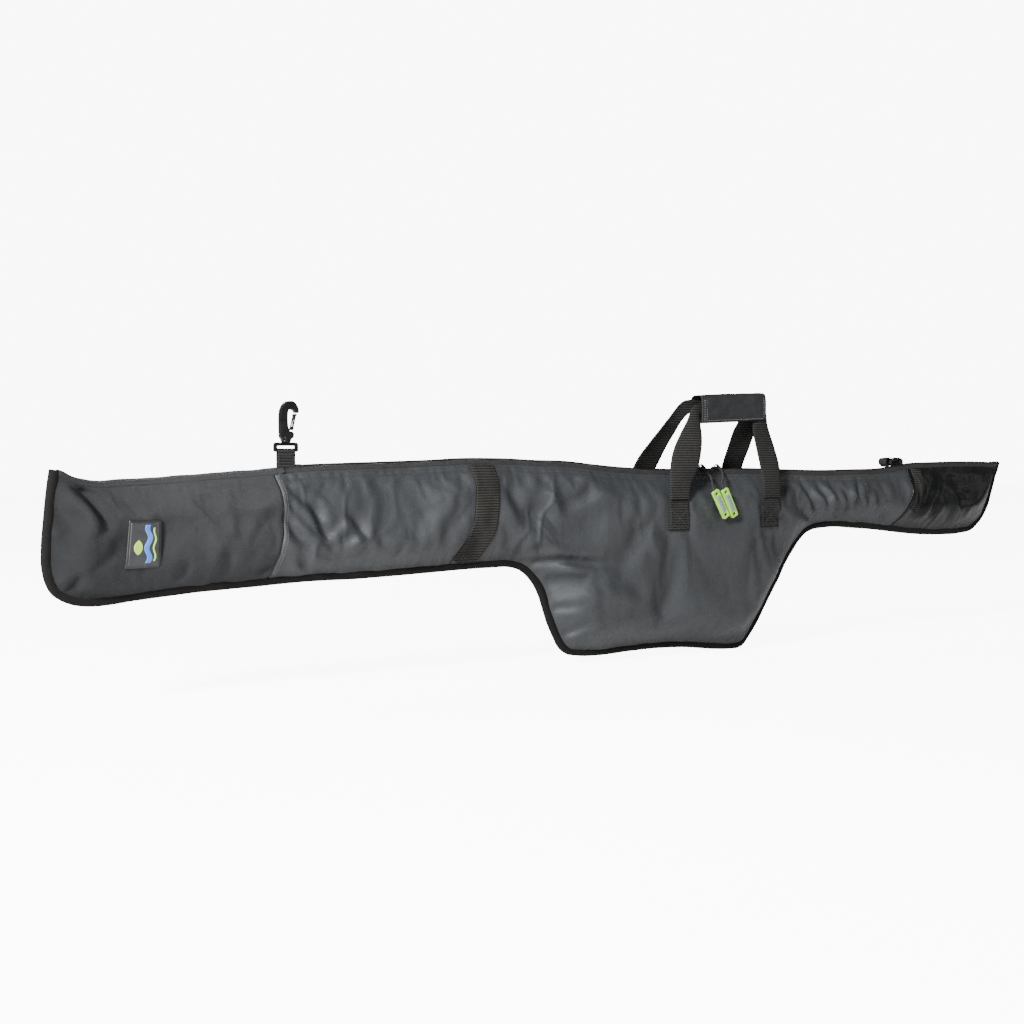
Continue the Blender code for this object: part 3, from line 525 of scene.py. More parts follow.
THREAD, THREAD_LIGHT, THREAD_DARK = [
    cloth(name, dark, light, rough=0.6, weave=2500.0, depth=0.0001, crumple=0.1)
    for name, dark, light in (
        ("thread", (0.055, 0.057, 0.06), (0.085, 0.088, 0.092)),
        ("thread_light", (0.11, 0.112, 0.115), (0.16, 0.163, 0.167)),
        ("thread_dark", (0.02, 0.0205, 0.021), (0.036, 0.0365, 0.0375)))]
PLASTIC = hard("black_plastic", (0.002, 0.002, 0.0022), (0.0045, 0.0045, 0.005),
               rough=0.4, specular=0.22)
METAL = hard("dark_metal", (0.02, 0.02, 0.021), (0.045, 0.045, 0.047), rough=0.36, metallic=0.8)
LIME = hard("lime_rubber", (0.20, 0.44, 0.025), (0.27, 0.54, 0.045), rough=0.42, scale=120)
INSET = hard("grey_inset", (0.13, 0.17, 0.175), (0.19, 0.235, 0.24), rough=0.45, scale=200)
PATCH_FACE = hard("patch_rubber", (0.012, 0.0125, 0.014), (0.02, 0.021, 0.023),
                  rough=0.5, scale=90, grain=0.4)
PATCH_EDGE = hard("patch_rubber_edge", (0.003, 0.003, 0.0033), (0.006, 0.006, 0.0063),
                  rough=0.5, scale=90, grain=0.3)
PATCH_BLUE = hard("patch_blue", (0.03, 0.11, 0.42), (0.05, 0.15, 0.5), rough=0.45, scale=150)
PATCH_LIME = hard("patch_lime", (0.24, 0.42, 0.03), (0.31, 0.5, 0.05), rough=0.45, scale=150)


def floor_paint():
    """Pale paint that also glows, but only as seen by the camera."""
    material = hard("floor_paint", (0.74, 0.74, 0.745), (0.78, 0.78, 0.785),
                    rough=0.8, scale=3, grain=0.02, specular=0.1)
    tree = material.node_tree
    shader = find_node(tree, "BSDF_PRINCIPLED")
    rays = tree.nodes.new("ShaderNodeLightPath")
    shader.inputs["Emission Color"].default_value = (1, 1, 1, 1)
    glow = math_node(tree, "MULTIPLY", rays.outputs["Is Camera Ray"], 8.5)
    tree.links.new(glow, shader.inputs["Emission Strength"])
    return material


FLOOR_PAINT = floor_paint()


# ------------------------------------------------------------------ mesh builders
def stack(x, y, z):
    return np.stack([x, y, z], -1)


def make_mesh(name, verts, faces, material, smooth=True):
    mesh = bpy.data.meshes.new(name)
    mesh.from_pydata(to_world(verts).tolist(), [], [tuple(int(k) for k in f) for f in faces])
    mesh.materials.append(material)
    mesh.validate()
    if smooth:
        mesh.polygons.foreach_set("use_smooth", [True] * len(mesh.polygons))
    piece = bpy.data.objects.new(name, mesh)
    SCENE.collection.objects.link(piece)
    return piece


def vertex_array(mesh):
    places = np.zeros(len(mesh.vertices) * 3)
    mesh.vertices.foreach_get("co", places)
    return places.reshape(-1, 3)


def face_outward(piece):
    """Flips the faces when the signed volume is negative."""
    mesh = piece.data
    mesh.calc_loop_triangles()
    corners = np.zeros(len(mesh.loop_triangles) * 3, int)
    mesh.loop_triangles.foreach_get("vertices", corners)
    a, b, c = vertex_array(mesh)[corners.reshape(-1, 3)].transpose(1, 0, 2)
    if (a * np.cross(b, c)).sum() < 0:
        mesh.flip_normals()
    return piece


def tube_faces(rings, sides, base=0):
    """Quads round a capped tube whose vertices are numbered ring by ring."""
    faces = []
    for i in range(rings - 1):
        low = base + i * sides
        for j in range(sides):
            k = (j + 1) % sides
            faces.append((low + j, low + k, low + sides + k, low + sides + j))
    last = base + (rings - 1) * sides
    faces.append(tuple(range(base + sides - 1, base - 1, -1)))
    faces.append(tuple(range(last, last + sides)))
    return faces


def shell(name, outer, inner, material):
    """A sheet with thickness, from two equal grids of points."""
    outer, inner = np.asarray(outer, float), np.asarray(inner, float)
    rows, cols = outer.shape[:2]
    count = rows * cols
    index = np.arange(count).reshape(rows, cols)
    a, b = index[:-1, :-1].ravel(), index[1:, :-1].ravel()
    c, d = index[1:, 1:].ravel(), index[:-1, 1:].ravel()
    faces = list(np.stack([a, b, c, d], 1))
    faces += list(count + np.stack([a, d, c, b], 1))
    for rim, forward in ((index[0], True), (index[-1], False),
                         (index[:, 0], False), (index[:, -1], True)):
        for p, q in zip(rim[:-1], rim[1:]):
            if not forward:
                p, q = q, p
            faces.append((p, q, count + q, count + p))
    verts = np.concatenate([outer.reshape(-1, 3), inner.reshape(-1, 3)])
    return face_outward(make_mesh(name, verts, faces, material))


def sweep(name, path, side_axis, up_axis, sections, material):
    """Capped tube; sections holds one outline, or one for each station of the path."""
    sections = np.asarray(sections, float)
    if sections.ndim == 2:
        sections = np.repeat(sections[None], len(path), 0)
    points = (path[:, None] + sections[:, :, :1] * side_axis[:, None]
              + sections[:, :, 1:] * up_axis[:, None])
    faces = tube_faces(len(path), sections.shape[1])
    return face_outward(make_mesh(name, points.reshape(-1, 3), faces, material))


def rod(name, points, radius, material, sides, step):
    path = smooth_path(points, step)
    tangent = directions(path)
    mostly_y = abs(tangent[:, 1]).mean() >= 0.8
    side_axis = np.cross(tangent, [1.0, 0, 0] if mostly_y else [0, 1.0, 0])
    side_axis /= np.linalg.norm(side_axis, axis=1)[:, None]
    turn = np.linspace(0, 2 * math.pi, sides, endpoint=False)
    circle = np.stack([radius * np.cos(turn), radius * np.sin(turn)], 1)
    return sweep(name, path, side_axis, np.cross(tangent, side_axis), circle, material)


def plate(name, loop, holes, y0, y1, material, bevel, segments=3):
    """Flat (x, z) outline with holes, thick from y0 to y1, with bevelled edges."""
    loops = [[Vector((x, z, 0)) for x, z in points] for points in [loop, *holes]]
    flat = [point for points in loops for point in points]
    count = len(flat)
    verts = [(p.x, y, p.y) for y in (y0, y1) for p in flat]
    faces = []
    for a, b, c in tessellate_polygon(loops):
        if (flat[b] - flat[a]).cross(flat[c] - flat[a]).z < 0:
            a, c = c, a
        faces.append((a, b, c))
        faces.append((count + c, count + b, count + a))
    base = 0
    for number, points in enumerate([loop, *holes]):
        size = len(points)
        area = sum(p[0] * q[1] - q[0] * p[1] for p, q in zip(points, points[1:] + points[:1]))
        forward = (area > 0) == (number == 0)
        for i in range(size):
            a, b = base + i, base + (i + 1) % size
            faces.append((b, a, count + a, count + b) if forward
                         else (a, b, count + b, count + a))
        base += size
    piece = face_outward(make_mesh(name, verts, faces, material))
    modifier = piece.modifiers.new("bevel", "BEVEL")
    modifier.width = bevel / 1000.0
    modifier.segments = segments
    modifier.limit_method = "ANGLE"
    modifier.angle_limit = math.radians(35)
    return piece


def rounded(loop, steps=4, share=0.32):
    """Cuts each corner with a blend that takes a share of both sides."""
    points = []
    for i, corner in enumerate(loop):
        corner = np.array(corner, float)
        before = np.array(loop[i - 1], float)
        after = np.array(loop[(i + 1) % len(loop)], float)
        a, b = corner + (before - corner) * share, corner + (after - corner) * share
        for k in range(steps + 1):
            t = k / steps
            points.append(tuple((1 - t) ** 2 * a + 2 * t * (1 - t) * corner + t * t * b))
    return points


def stitches(name, lines, material, *, pitch, length, radius=0.42):
    """Separate stitches along lines of (points, outward direction)."""
    # lift of the centre and share of the radius at the start, middle and end of a stitch
    rings = ((-0.25, 0.5), (0.32, 1.0), (-0.25, 0.5))
    sides = 5
    verts, faces = [], []
    for points, outward in lines:
        outward = np.array(outward, float)
        travel = lengths(points)
        for k in range(int(travel[-1] / pitch)):
            start = k * pitch + 0.4
            end = start + length
            stations = [start, (start + end) / 2, end]
            centres = np.stack([np.interp(stations, travel, points[:, axis])
                                for axis in range(3)], 1)
            tangent = centres[2] - centres[0]
            size = np.linalg.norm(tangent)
            if size < 1e-6:
                continue
            tangent /= size
            normal = outward - tangent * (outward @ tangent)
            normal /= np.linalg.norm(normal)
            across = np.cross(tangent, normal)
            faces += tube_faces(3, sides, len(verts))
            for centre, (lift, share) in zip(centres, rings):
                for side in range(sides):
                    turn = 2 * math.pi * side / sides
                    verts.append(centre + normal * (lift + radius * share * math.cos(turn))
                                 + across * radius * share * math.sin(turn))
    return make_mesh(name, verts, faces, material)


def skin_line(points, side, up=0.15, lean=0.15):
    """A stitch line lying on the skin; lean tips its outward direction upward."""
    path = smooth_path(points, 3.0)
    y = skin(path[:, 0], path[:, 1], side) + up
    return stack(path[:, 0], side * y, path[:, 1]), (0, side, lean)


MOUTH = "mouth"
MOUTH_LOW, MOUTH_HIGH = 196, 258  # the blend runs from the case to the flap between these z


def open_with_mouth(piece):
    """Blends a piece from the case to the back flap, fading out toward both ends."""
    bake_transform(piece, "case", "back_flap", start=tuple(to_world((1150, 50, MOUTH_LOW))),
             end=tuple(to_world((1150, 50, MOUTH_HIGH))))
    places = vertex_array(piece.data)
    x = places[:, 0] * 1000 + ORIGIN[0]
    z = places[:, 2] * 1000
    weight = ease((x - 385) / 240) * (1 - ease((x - 1690) / 250))
    weight = weight * ease((z - MOUTH_LOW) / (MOUTH_HIGH - MOUTH_LOW))
    attribute = piece.data.attributes["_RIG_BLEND"]
    attribute.data.foreach_set("value", weight.astype(np.float32))


def attach(piece, body, *replaced):
    """Ties a piece to a moving body and hides the CAD pieces it stands for."""
    if body == MOUTH:
        open_with_mouth(piece)
    else:
        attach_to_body(piece, body)
    if replaced:
        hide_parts(*replaced)


# ------------------------------------------------------------------ panels
RIM = 9.0  # the panels stop this far below the top edge
# x of matching stations along the lower and the upper edge
LOWER_X = [
    7, 28, 60, 117, 190, 260, 323, 372, 472, 560, 640, 700, 745, 774, 790, 803, 814, 825, 836,
    846, 858, 878, 933, 1000, 1064, 1133, 1204, 1245, 1272, 1300, 1330, 1360, 1388, 1410, 1440,
    1480, 1547, 1610, 1650, 1716, 1805, 1862]
UPPER_X = [
    15, 38, 66, 120, 190, 262, 333, 376, 472, 560, 640, 700, 745, 775, 793, 808, 823, 837, 851,
    866, 882, 905, 950, 1005, 1064, 1130, 1192, 1232, 1262, 1294, 1326, 1358, 1388, 1412, 1445,
    1490, 1560, 1640, 1692, 1752, 1838, 1895]
# lower and upper (x, z) of each column; z None follows the outline
STATIONS = ([((2.0, 172.0), (9.0, 316.0))]
            + [((low, None), (high, None)) for low, high in zip(LOWER_X, UPPER_X)]
            + [((1911.5, None), (1969.0, None)), ((1924.5, 215.5), (1979.5, 320.0))])
TIP_STATION = LOWER_X.index(TIP_SEAM[2]) + 1
BUTT_STATION = LOWER_X.index(BUTT_SEAM[2]) + 1
LAST_STATION = len(STATIONS) - 1

# webbing pads at the handle ends: side, x from, x to, z from, z to, body
HANDLE_ENDS = {
    "front_left": (FRONT, 1055, 1098, 217, 271, "case"),
    "front_right": (FRONT, 1272, 1315, 217, 271, "case"),
    "back_left": (BACK, 1040, 1084, 230, 277, "back_flap"),
    "back_right": (BACK, 1262, 1306, 230, 277, "back_flap")}


def lower_edge(x):
    slope = float(curve(BOTTOM, x + 1) - curve(BOTTOM, x - 1)) / 2
    steep = 1.0 if abs(slope) > 0.7 else 0.0
    return float(curve(BOTTOM, x)) + 2.0 * math.sqrt(1 + slope * slope) + steep


def upper_edge(x):
    return top_z(x) - RIM


def between(start, end, share, outline):
    x = start[0] * (1 - share) + end[0] * share
    z = outline(x)
    if start[1] is None and end[1] is None:
        return x, z
    start_z = z if start[1] is None else start[1]
    end_z = z if end[1] is None else end[1]
    return x, start_z * (1 - share) + end_z * share


def panel_grid(first, last, step, rows):
    """x and z of a panel between two stations, column by column."""
    stations = STATIONS[first:last + 1]
    columns = []
    for start, end in zip(stations[:-1], stations[1:]):
        span = max(abs(end[0][0] - start[0][0]), abs(end[1][0] - start[1][0]))
        count = max(1, int(round(span / step)))
        columns += [(start, end, k / count) for k in range(count)]
    columns.append((start, end, 1.0))
    low = np.array([between(a[0], b[0], share, lower_edge) for a, b, share in columns])
    high = np.array([between(a[1], b[1], share, upper_edge) for a, b, share in columns])
    s = np.linspace(0, 1, rows)
    s = 0.5 * s + 0.5 * (0.5 - 0.5 * np.cos(math.pi * s))
    x = low[:, :1] + (high[:, :1] - low[:, :1]) * s[None]
    z = low[:, 1:] + (high[:, 1:] - low[:, 1:]) * s[None]
    # columns bow outward at the tip end and with the two seams
    end_bow = 5.0 * np.clip(1 - low[:, 0] / 30, 0, 1)
    seam_bow = (TIP_SEAM[4] * np.exp(-((low[:, 0] - TIP_SEAM[2]) / 70) ** 2)
                + BUTT_SEAM[4] * np.exp(-((low[:, 0] - BUTT_SEAM[2]) / 60) ** 2))
    return x + (seam_bow - end_bow)[:, None] * np.sin(math.pi * s)[None], z


DRAPE_FRAMES = 26
DRAPE_LIMIT = 6.5  # heights are squeezed to stay below this
CLOTH_SETTINGS = {
    "quality": 6, "mass": 0.12, "tension_stiffness": 18, "compression_stiffness": 14,
    "shear_stiffness": 6, "bending_stiffness": 0.12, "tension_damping": 12,
    "compression_damping": 12, "shear_damping": 12, "vertex_group_mass": "sewn",
    "shrink_min": -0.03, "use_pressure": True, "uniform_pressure_force": 0.25}


def sewn_points(x, z, side):
    """Marks the points held by the edges, seams, bands, patch and handle ends."""
    edge, _ = edge_distance(x, z)
    hold = (edge < 13) | (curve(TOP, x) - z < 25) | (x < 12) | (x > 1940)
    for seam in (TIP_SEAM, BUTT_SEAM):
        hold |= np.abs(x - seam_x(seam, z)) < 5
    for band_x, reach in ((684, 29), (1714, 18)):
        hold |= np.abs(x - band_x) < reach
    hold |= (x > 92) & (x < 192) & (z > 190) & (z < 292) & (side == FRONT)
    for end_side, x0, x1, z0, _, _ in HANDLE_ENDS.values():
        if end_side == side:
            hold |= (x > x0 - 4) & (x < x1 + 4) & (z > z0 - 4)
    return hold


def drape(side):
    """Lets the cover, sewn down and a little too big, settle as cloth."""
    x, z = panel_grid(0, LAST_STATION, 6.6, 42)
    rows, cols = x.shape
    start = stack(x, side * skin(x, z, side), z).reshape(-1, 3) / 1000.0
    quads = [(i * cols + j, (i + 1) * cols + j, (i + 1) * cols + j + 1, i * cols + j + 1)
             for i in range(rows - 1) for j in range(cols - 1)]
    mesh = bpy.data.meshes.new("drape_grid")
    mesh.from_pydata(start.tolist(), [], quads)
    sheet = bpy.data.objects.new("drape_grid", mesh)
    SCENE.collection.objects.link(sheet)
    group = sheet.vertex_groups.new(name="sewn")
    held = np.nonzero(sewn_points(x, z, side).ravel())[0]
    group.add([int(k) for k in held], 1.0, "REPLACE")
    modifier = sheet.modifiers.new("cloth", "CLOTH")
    for setting, value in CLOTH_SETTINGS.items():
        setattr(modifier.settings, setting, value)
    modifier.settings.effector_weights.gravity = 0.15
    modifier.collision_settings.use_collision = False
    modifier.point_cache.frame_end = DRAPE_FRAMES + 2
    for frame in range(1, DRAPE_FRAMES + 1):
        SCENE.frame_set(frame)
    settled = sheet.evaluated_get(bpy.context.evaluated_depsgraph_get())
    end = vertex_array(settled.to_mesh())
    settled.to_mesh_clear()
    rise_y = (side * (end[:, 1] - start[:, 1]) * 1000).reshape(rows, cols)
    rise_y = np.where(np.isfinite(rise_y), rise_y, 0.0)
    rise_y = DRAPE_LIMIT * np.tanh(rise_y / DRAPE_LIMIT)
    # spread the settled heights over an even grid
    total = np.zeros((int(1990 / CELL_X) + 10, int(345 / CELL_Z) + 10))
    weights = total + 1e-6
    u, v = x / CELL_X + CELL_MARGIN, z / CELL_Z + CELL_MARGIN
    near_u, near_v = np.round(u).astype(int), np.round(v).astype(int)
    for a in range(-2, 3):
        for b in range(-2, 3):
            i = np.clip(near_u + a, 0, total.shape[0] - 1)
            j = np.clip(near_v + b, 0, total.shape[1] - 1)
            weight = np.exp(-((i - u) ** 2 + (j - v) ** 2) / 0.6)
            np.add.at(total, (i, j), weight * rise_y)
            np.add.at(weights, (i, j), weight)
    DRAPE[side] = total / weights
    SCENE.frame_set(1)
    bpy.data.objects.remove(sheet, do_unlink=True)
    bpy.data.meshes.remove(mesh)


def panel(name, first, last, side, material, step, rows):
    x, z = panel_grid(first, last, step, rows)
    y = skin(x, z, side)
    return shell(name, stack(x, side * y, z), stack(x, side * (y - 0.9), z), material)


def lining(name, side):
    """Inner cloth, kept clear of every dip in the outer cloth."""
    x, z = panel_grid(0, LAST_STATION, 9.0, 30)
    y = skin(x, z, side, fine=False)
    edge, _ = edge_distance(x, z)
    depth = 1.6 + 6.4 * ease((edge - 10) / 25) * ease((curve(TOP, x) - z - 11) / 18)
    ripple = waves(x, z, 91 + side, 8, (60, 160), (50, 150), height=0.6)
    y = np.maximum(y - depth, 0.9) + 0.6 * ripple * ease((edge - 30) / 30)
    around = ((0, 0), (5, 0), (-5, 0), (0, 4), (0, -4), (4, 3), (-4, 3), (4, -3), (-4, -3))
    lowest = np.min([skin(x + dx, z + dz, side) for dx, dz in around], 0)
    y = np.maximum(np.minimum(y, lowest - 2.4), 0.9)
    return shell(name, stack(x, side * y, z), stack(x, side * (y - 0.6), z), LINING)


def build_panels():
    coarse = 1.0
    tip, main, butt = (0, TIP_STATION), (TIP_STATION, BUTT_STATION), (BUTT_STATION, LAST_STATION)
    # name, stations, side, material, step, rows, body, CAD pieces
    panels = [
        ("tip_panel_front", tip, FRONT, TIP, 3.6, 58, "case", ["tip_cover_front"]),
        ("main_panel_front", main, FRONT, MAIN, 3.2, 62, "case",
         ["main_cover_front", "padding_front"]),
        ("butt_panel_front", butt, FRONT, BUTT, 3.6, 58, "case", ["butt_cover_front"]),
        ("tip_panel_back", tip, BACK, TIP, 4.4, 48, "case", ["tip_cover_back"]),
        ("main_panel_back", main, BACK, MAIN, 4.2, 54, MOUTH,
         ["main_cover_back_lower", "main_cover_back_flap", "padding_back_lower"]),
        ("butt_panel_back", butt, BACK, BUTT, 4.4, 48, MOUTH,
         ["butt_cover_back_lower", "butt_cover_back_flap"])]
    for name, (first, last), side, material, step, rows, body, replaced in panels:
        piece = panel(name, first, last, side, material, step * coarse, rows)
        attach(piece, body, *replaced)
    attach(lining("lining_front_cloth", FRONT), "case", "lining_front")
    attach(lining("lining_back_cloth", BACK), MOUTH,
           "lining_back_lower", "lining_back_flap", "padding_back_flap")


def build_binding():
    """Tape folded over the bound edge, slightly uneven."""
    path = smooth_path(EDGE, 4.0)
    tangent = directions(path)
    travel = lengths(path)
    draw = np.random.RandomState(5)

    def wobble(short, long):
        terms = zip(draw.uniform(short, long, 9), draw.uniform(0, 6, 9))
        return sum(np.sin(travel / length + phase) for length, phase in terms) / 3

    width_wobble = wobble(4, 22)
    depth_wobble = wobble(5, 30)
    sections = []
    for k in range(len(path)):
        w = 6.0 + 0.35 * width_wobble[k]   # half width
        d = 10.0 + 0.5 * depth_wobble[k]   # depth over the panels
        half = [(-w + 1.6, -d + 0.6), (-w + 0.4, -d), (-w - 0.1, -d + 0.7),
                (-w - 0.35, -d * 0.55), (-w - 0.1, -3.0), (-w * 0.78, 0.2), (-w * 0.4, 1.5)]
        sections.append(half + [(0, 1.9)] + [(-y, out) for y, out in reversed(half)])
    centre = stack(path[:, 0], 0.5 * depth_wobble, path[:, 1])
    y_axis = np.repeat([[0, 1.0, 0]], len(path), 0)
    outward = stack(tangent[:, 1], 0 * travel, -tangent[:, 0])
    piece = sweep("edge_binding_tape", centre, y_axis, outward, sections, BINDING)
    attach(piece, "case", "edge_binding")


# ------------------------------------------------------------------ top edge and zip
# sections down from the top edge: y (None is the panel rim), z from the edge
FOLD_SECTION = [(None, -10.2), (None, -8.2), (8.4, -3.6), (4.2, -0.9)]
TAPE_SECTION = [(None, -10.0), (None, -8.0), (7.6, -3.9), (3.2, -1.5)]
TOOTH_PITCH = 2.7
TOOTH_SECTION = ((3.4, -2.6), (3.5, -0.9), (1.2, 0.5), (-0.5, 0.35), (-0.6, -1.6), (1.4, -2.6))


def top_strip(name, x0, x1, section, material):
    """Strip along the top edge; section rows are (side, y, z from the edge)."""
    thick = 1.0
    rim_x = np.linspace(0, 1990, 400)
    rim_y = skin(rim_x, curve(TOP, rim_x) - RIM, fine=False)
    xs = np.linspace(x0, x1, int((x1 - x0) / 4.0))
    wobble = 0.5 * np.sin(xs / 13.0) + 0.4 * np.sin(xs / 7.3 + 1)
    outer, inner = [], []
    for x, z, w, rim in zip(xs, curve(TOP, xs), wobble, np.interp(xs, rim_x, rim_y) + 0.5):
        outer_row, inner_row = [], []
        for side, y, dz in section:
            shift = w * 0.5 if y is not None and y < 8 else 0
            if y is None:
                y = rim
            outer_row.append((x, side * y, z + dz + shift))
            inner_row.append((x, side * (y - (thick if y > 1 else 0)), z + dz - thick + shift))
        outer.append(outer_row)
        inner.append(inner_row)
    return shell(name, outer, inner, material)


def teeth(name, side):
    """A row of zip teeth; the back row sits half a pitch along."""
    verts, faces = [], []
    xs = np.arange(373, 1958, TOOTH_PITCH)
    offset = 0.0 if side == FRONT else TOOTH_PITCH / 2
    for x, z in zip(xs + offset, curve(TOP, xs)):
        faces += tube_faces(2, len(TOOTH_SECTION), len(verts))
        verts += [(x + dx, side * y, z + dz) for dx in (-0.85, 0.85) for y, dz in TOOTH_SECTION]
    return make_mesh(name, verts, faces, PLASTIC, smooth=False)


def build_zip():
    section = ([(FRONT, *row) for row in FOLD_SECTION] + [(FRONT, 0.01, 0.0)]
               + [(BACK, *row) for row in reversed(FOLD_SECTION)])
    attach(top_strip("tip_top_fold_cloth", 16, 352, section, TIP), "case", "tip_top_fold")
    bodies = {FRONT: "case", BACK: MOUTH}
    for side, word in SIDES:
        section = [(side, *row) for row in TAPE_SECTION]
        tape = top_strip(f"zip_tape_{word}_cloth", 345, 1974, section, TAPE)
        attach(tape, bodies[side], f"zip_tape_{word}")
    for side, word in SIDES:
        attach(teeth(f"zip_teeth_{word}", side), bodies[side], f"zip_coil_{word}")
    for end, x in (("tip", 376.0), ("butt", 1963.0)):
        z = top_z(x)
        loop = [(x - 4, z - 2.4), (x + 4, z - 2.4), (x + 4, z + 1.6), (x - 4, z + 1.6)]
        stop = plate(f"zip_stop_{end}_side", loop, [], -4.6, 4.6, METAL, bevel=0.8)
        attach(stop, "case", "zip_stop_" + end)


# ------------------------------------------------------------------ webbing on the skin
# centre lines of (x, z), bottom to top
BELLY_BAND = [(661, 172), (676, 205), (686, 232), (691, 262), (693, 290), (694, top_z(693) - 11)]
BUTT_BAND = [(1694, 236), (1703, 262), (1709, 286), (1713, top_z(1712) - 12)]


def web_on_skin(name, side, path, width, material, *, pitch, rib, across,
                lift=0.5, clear_binding=False):
    """Ribbed webbing laid on the skin; rib is the height of the ribs, pitch their spacing."""
    thick, reach = 1.5, 7
    path = smooth_path(path, 1.0)
    tangent = directions(path)
    e = np.linspace(-0.5, 0.5, across)
    x = path[:, :1] + tangent[:, 1:] * e[None] * width
    z = path[:, 1:] - tangent[:, :1] * e[None] * width
    if clear_binding:
        z = np.maximum(z, curve(BOTTOM, x) + 8.6)
    y = skin(x, z, side)
    # webbing is stiffer than the cloth, so it bridges the dips under it
    padded = np.pad(y, ((reach, reach), (0, 0)), mode="edge")
    y = np.maximum(y, np.mean([padded[i:i + len(y)] for i in range(2 * reach + 1)], 0))
    ribs = rib * np.cos(2 * math.pi * lengths(path) / pitch)[:, None]
    edge_drop = 0.3 * (2 * np.abs(e)) ** 6
    outer_y = y + lift + thick + ribs - edge_drop[None]
    return shell(name, stack(x, side * outer_y, z), stack(x, side * (y + lift - 0.6), z), material)


def build_bands():
    belly = dict(pitch=4.2, rib=0.42, across=25, clear_binding=True)
    piece = web_on_skin("belly_band_front_web", FRONT, BELLY_BAND, 45, BAND, **belly)
    attach(piece, "case", "belly_band_front")
    piece = web_on_skin("belly_band_back_web", BACK, BELLY_BAND, 45, BAND, **belly)
    attach(piece, MOUTH, "belly_band_back_lower", "belly_band_back_flap")
    piece = web_on_skin("butt_band_front_web", FRONT, BUTT_BAND, 26, BAND,
                        pitch=3.4, rib=0.3, across=15)
    attach(piece, "case", "butt_band_front")


def build_handle_ends():
    """Webbing pads, each sewn down with a crossed box."""
    for key, (side, x0, x1, z0, z1, body) in HANDLE_ENDS.items():
        middle = (x0 + x1) / 2
        pad = web_on_skin("handle_end_" + key, side, [(middle, z0), (middle, z1)], x1 - x0,
                          WEBBING, lift=0.7, pitch=4.2, rib=0.36, across=15)
        left, right, low, high = x0 + 3.5, x1 - 3.5, z0 + 3.5, z0 + 37
        a, b, c, d = (left, low), (right, low), (right, high), (left, high)
        second_row = ((left, low + 3), (right, low + 3))
        lines = [skin_line(ends, side, up=2.5, lean=0)
                 for ends in ((a, b), (b, c), (c, d), (d, a), (a, c), (d, b), second_row)]
        sewing = stitches("handle_end_stitch_" + key, lines, THREAD_DARK, pitch=3.4, length=2.5)
        attach(pad, body, "handle_anchor_" + key)
        attach(sewing, body)


# ------------------------------------------------------------------ moulded patch
# corners (x, z): lower left, lower right, upper right, upper left, as seen from the front
PATCH = np.array([(96.5, 191.0), (147.0, 191.5), (149.0, 256.5), (102.5, 256.5)])


def patch_layer(name, counts, lift, thick, material, margins=(0, 0), shape=None):
    """One raised layer; u and v run 0 to 1 across and up the patch, shape remaps them."""
    u, v = np.meshgrid(*[np.linspace(margin, 1 - margin, count)
                         for margin, count in zip(margins, counts)], indexing="ij")
    if shape is not None:
        u, v = shape(u, v)
    u, v = u[..., None], v[..., None]
    low = PATCH[0] * (1 - u) + PATCH[1] * u
    high = PATCH[3] * (1 - u) + PATCH[2] * u
    place = low * (1 - v) + high * v
    x, z = place[..., 0], place[..., 1]
    y = skin(x, z, fine=False) + 1.2 + lift
    return shell(name, stack(x, -(y + thick), z), stack(x, -(y - 2.0), z), material)


def wave_shape(u, v):
    return 0.62 + 0.05 * np.sin(v * 12) + (u - 0.5) * 0.16, 0.1 + 0.8 * v


def line_shape(u, v):
    return 0.80 + 0.03 * np.sin(v * 12) + (u - 0.5) * 0.05, 0.14 + 0.7 * v


def drop_shape(u, v):
    width = 0.26 * np.sin(math.pi * np.clip(v, 0.02, 0.98)) ** 0.7
    return 0.32 + (u - 0.5) * width, 0.28 + 0.3 * v


def build_patch():
    base = patch_layer("label_patch_base", (26, 32), 0, 1.2, PATCH_EDGE)
    attach(base, "case", "label_patch")
    face = patch_layer("label_patch_face", (24, 30), 0.45, 1.2, PATCH_FACE, margins=(0.06, 0.05))
    attach(face, "case")
    for word, counts, material, shape in (("wave", (7, 60), PATCH_BLUE, wave_shape),
                                          ("line", (4, 60), PATCH_LIME, line_shape),
                                          ("drop", (12, 26), PATCH_LIME, drop_shape)):
        mark = patch_layer("label_patch_" + word, counts, 0.9, 1.3, material, shape=shape)
        attach(mark, "case")


# ------------------------------------------------------------------ stitching on the panels
def below_zip(drop):
    return [(x, top_z(x) - drop) for x in np.arange(348, 1655, 25.0)]


def beside_seam(seam, z0, z1, count, offset):
    z = np.linspace(z0, z1, count)
    return np.stack([seam_x(seam, z) + offset, z], 1)


def build_panel_stitching():
    for side, word in SIDES:
        body = "case" if side == FRONT else MOUTH
        lines = [skin_line(below_zip(drop), side) for drop in (18.0, 12.0)]
        attach(stitches("topstitch_" + word, lines, THREAD_DARK,
                        pitch=4.6, length=3.3, radius=0.4), body)
        lines = [skin_line(beside_seam(TIP_SEAM, 172, 312, 14, offset), side)
                 for offset in (2.6, 6.2)]
        attach(stitches("seam_stitch_tip_" + word, lines, THREAD, pitch=4.2, length=3.0), body)
        lines = [skin_line(beside_seam(BUTT_SEAM, 212, 308, 12, -2.6), side)]
        attach(stitches("seam_stitch_butt_" + word, lines, THREAD_DARK,
                        pitch=4.2, length=3.0, radius=0.4), body)
    # overlapping dark stitches beside the belly band
    line = skin_line([(x - 24.5, z) for x, z in BELLY_BAND], FRONT)
    attach(stitches("band_edge_stitch_front", [line], TAPE,
                    pitch=2.6, length=3.4, radius=1.0), "case")


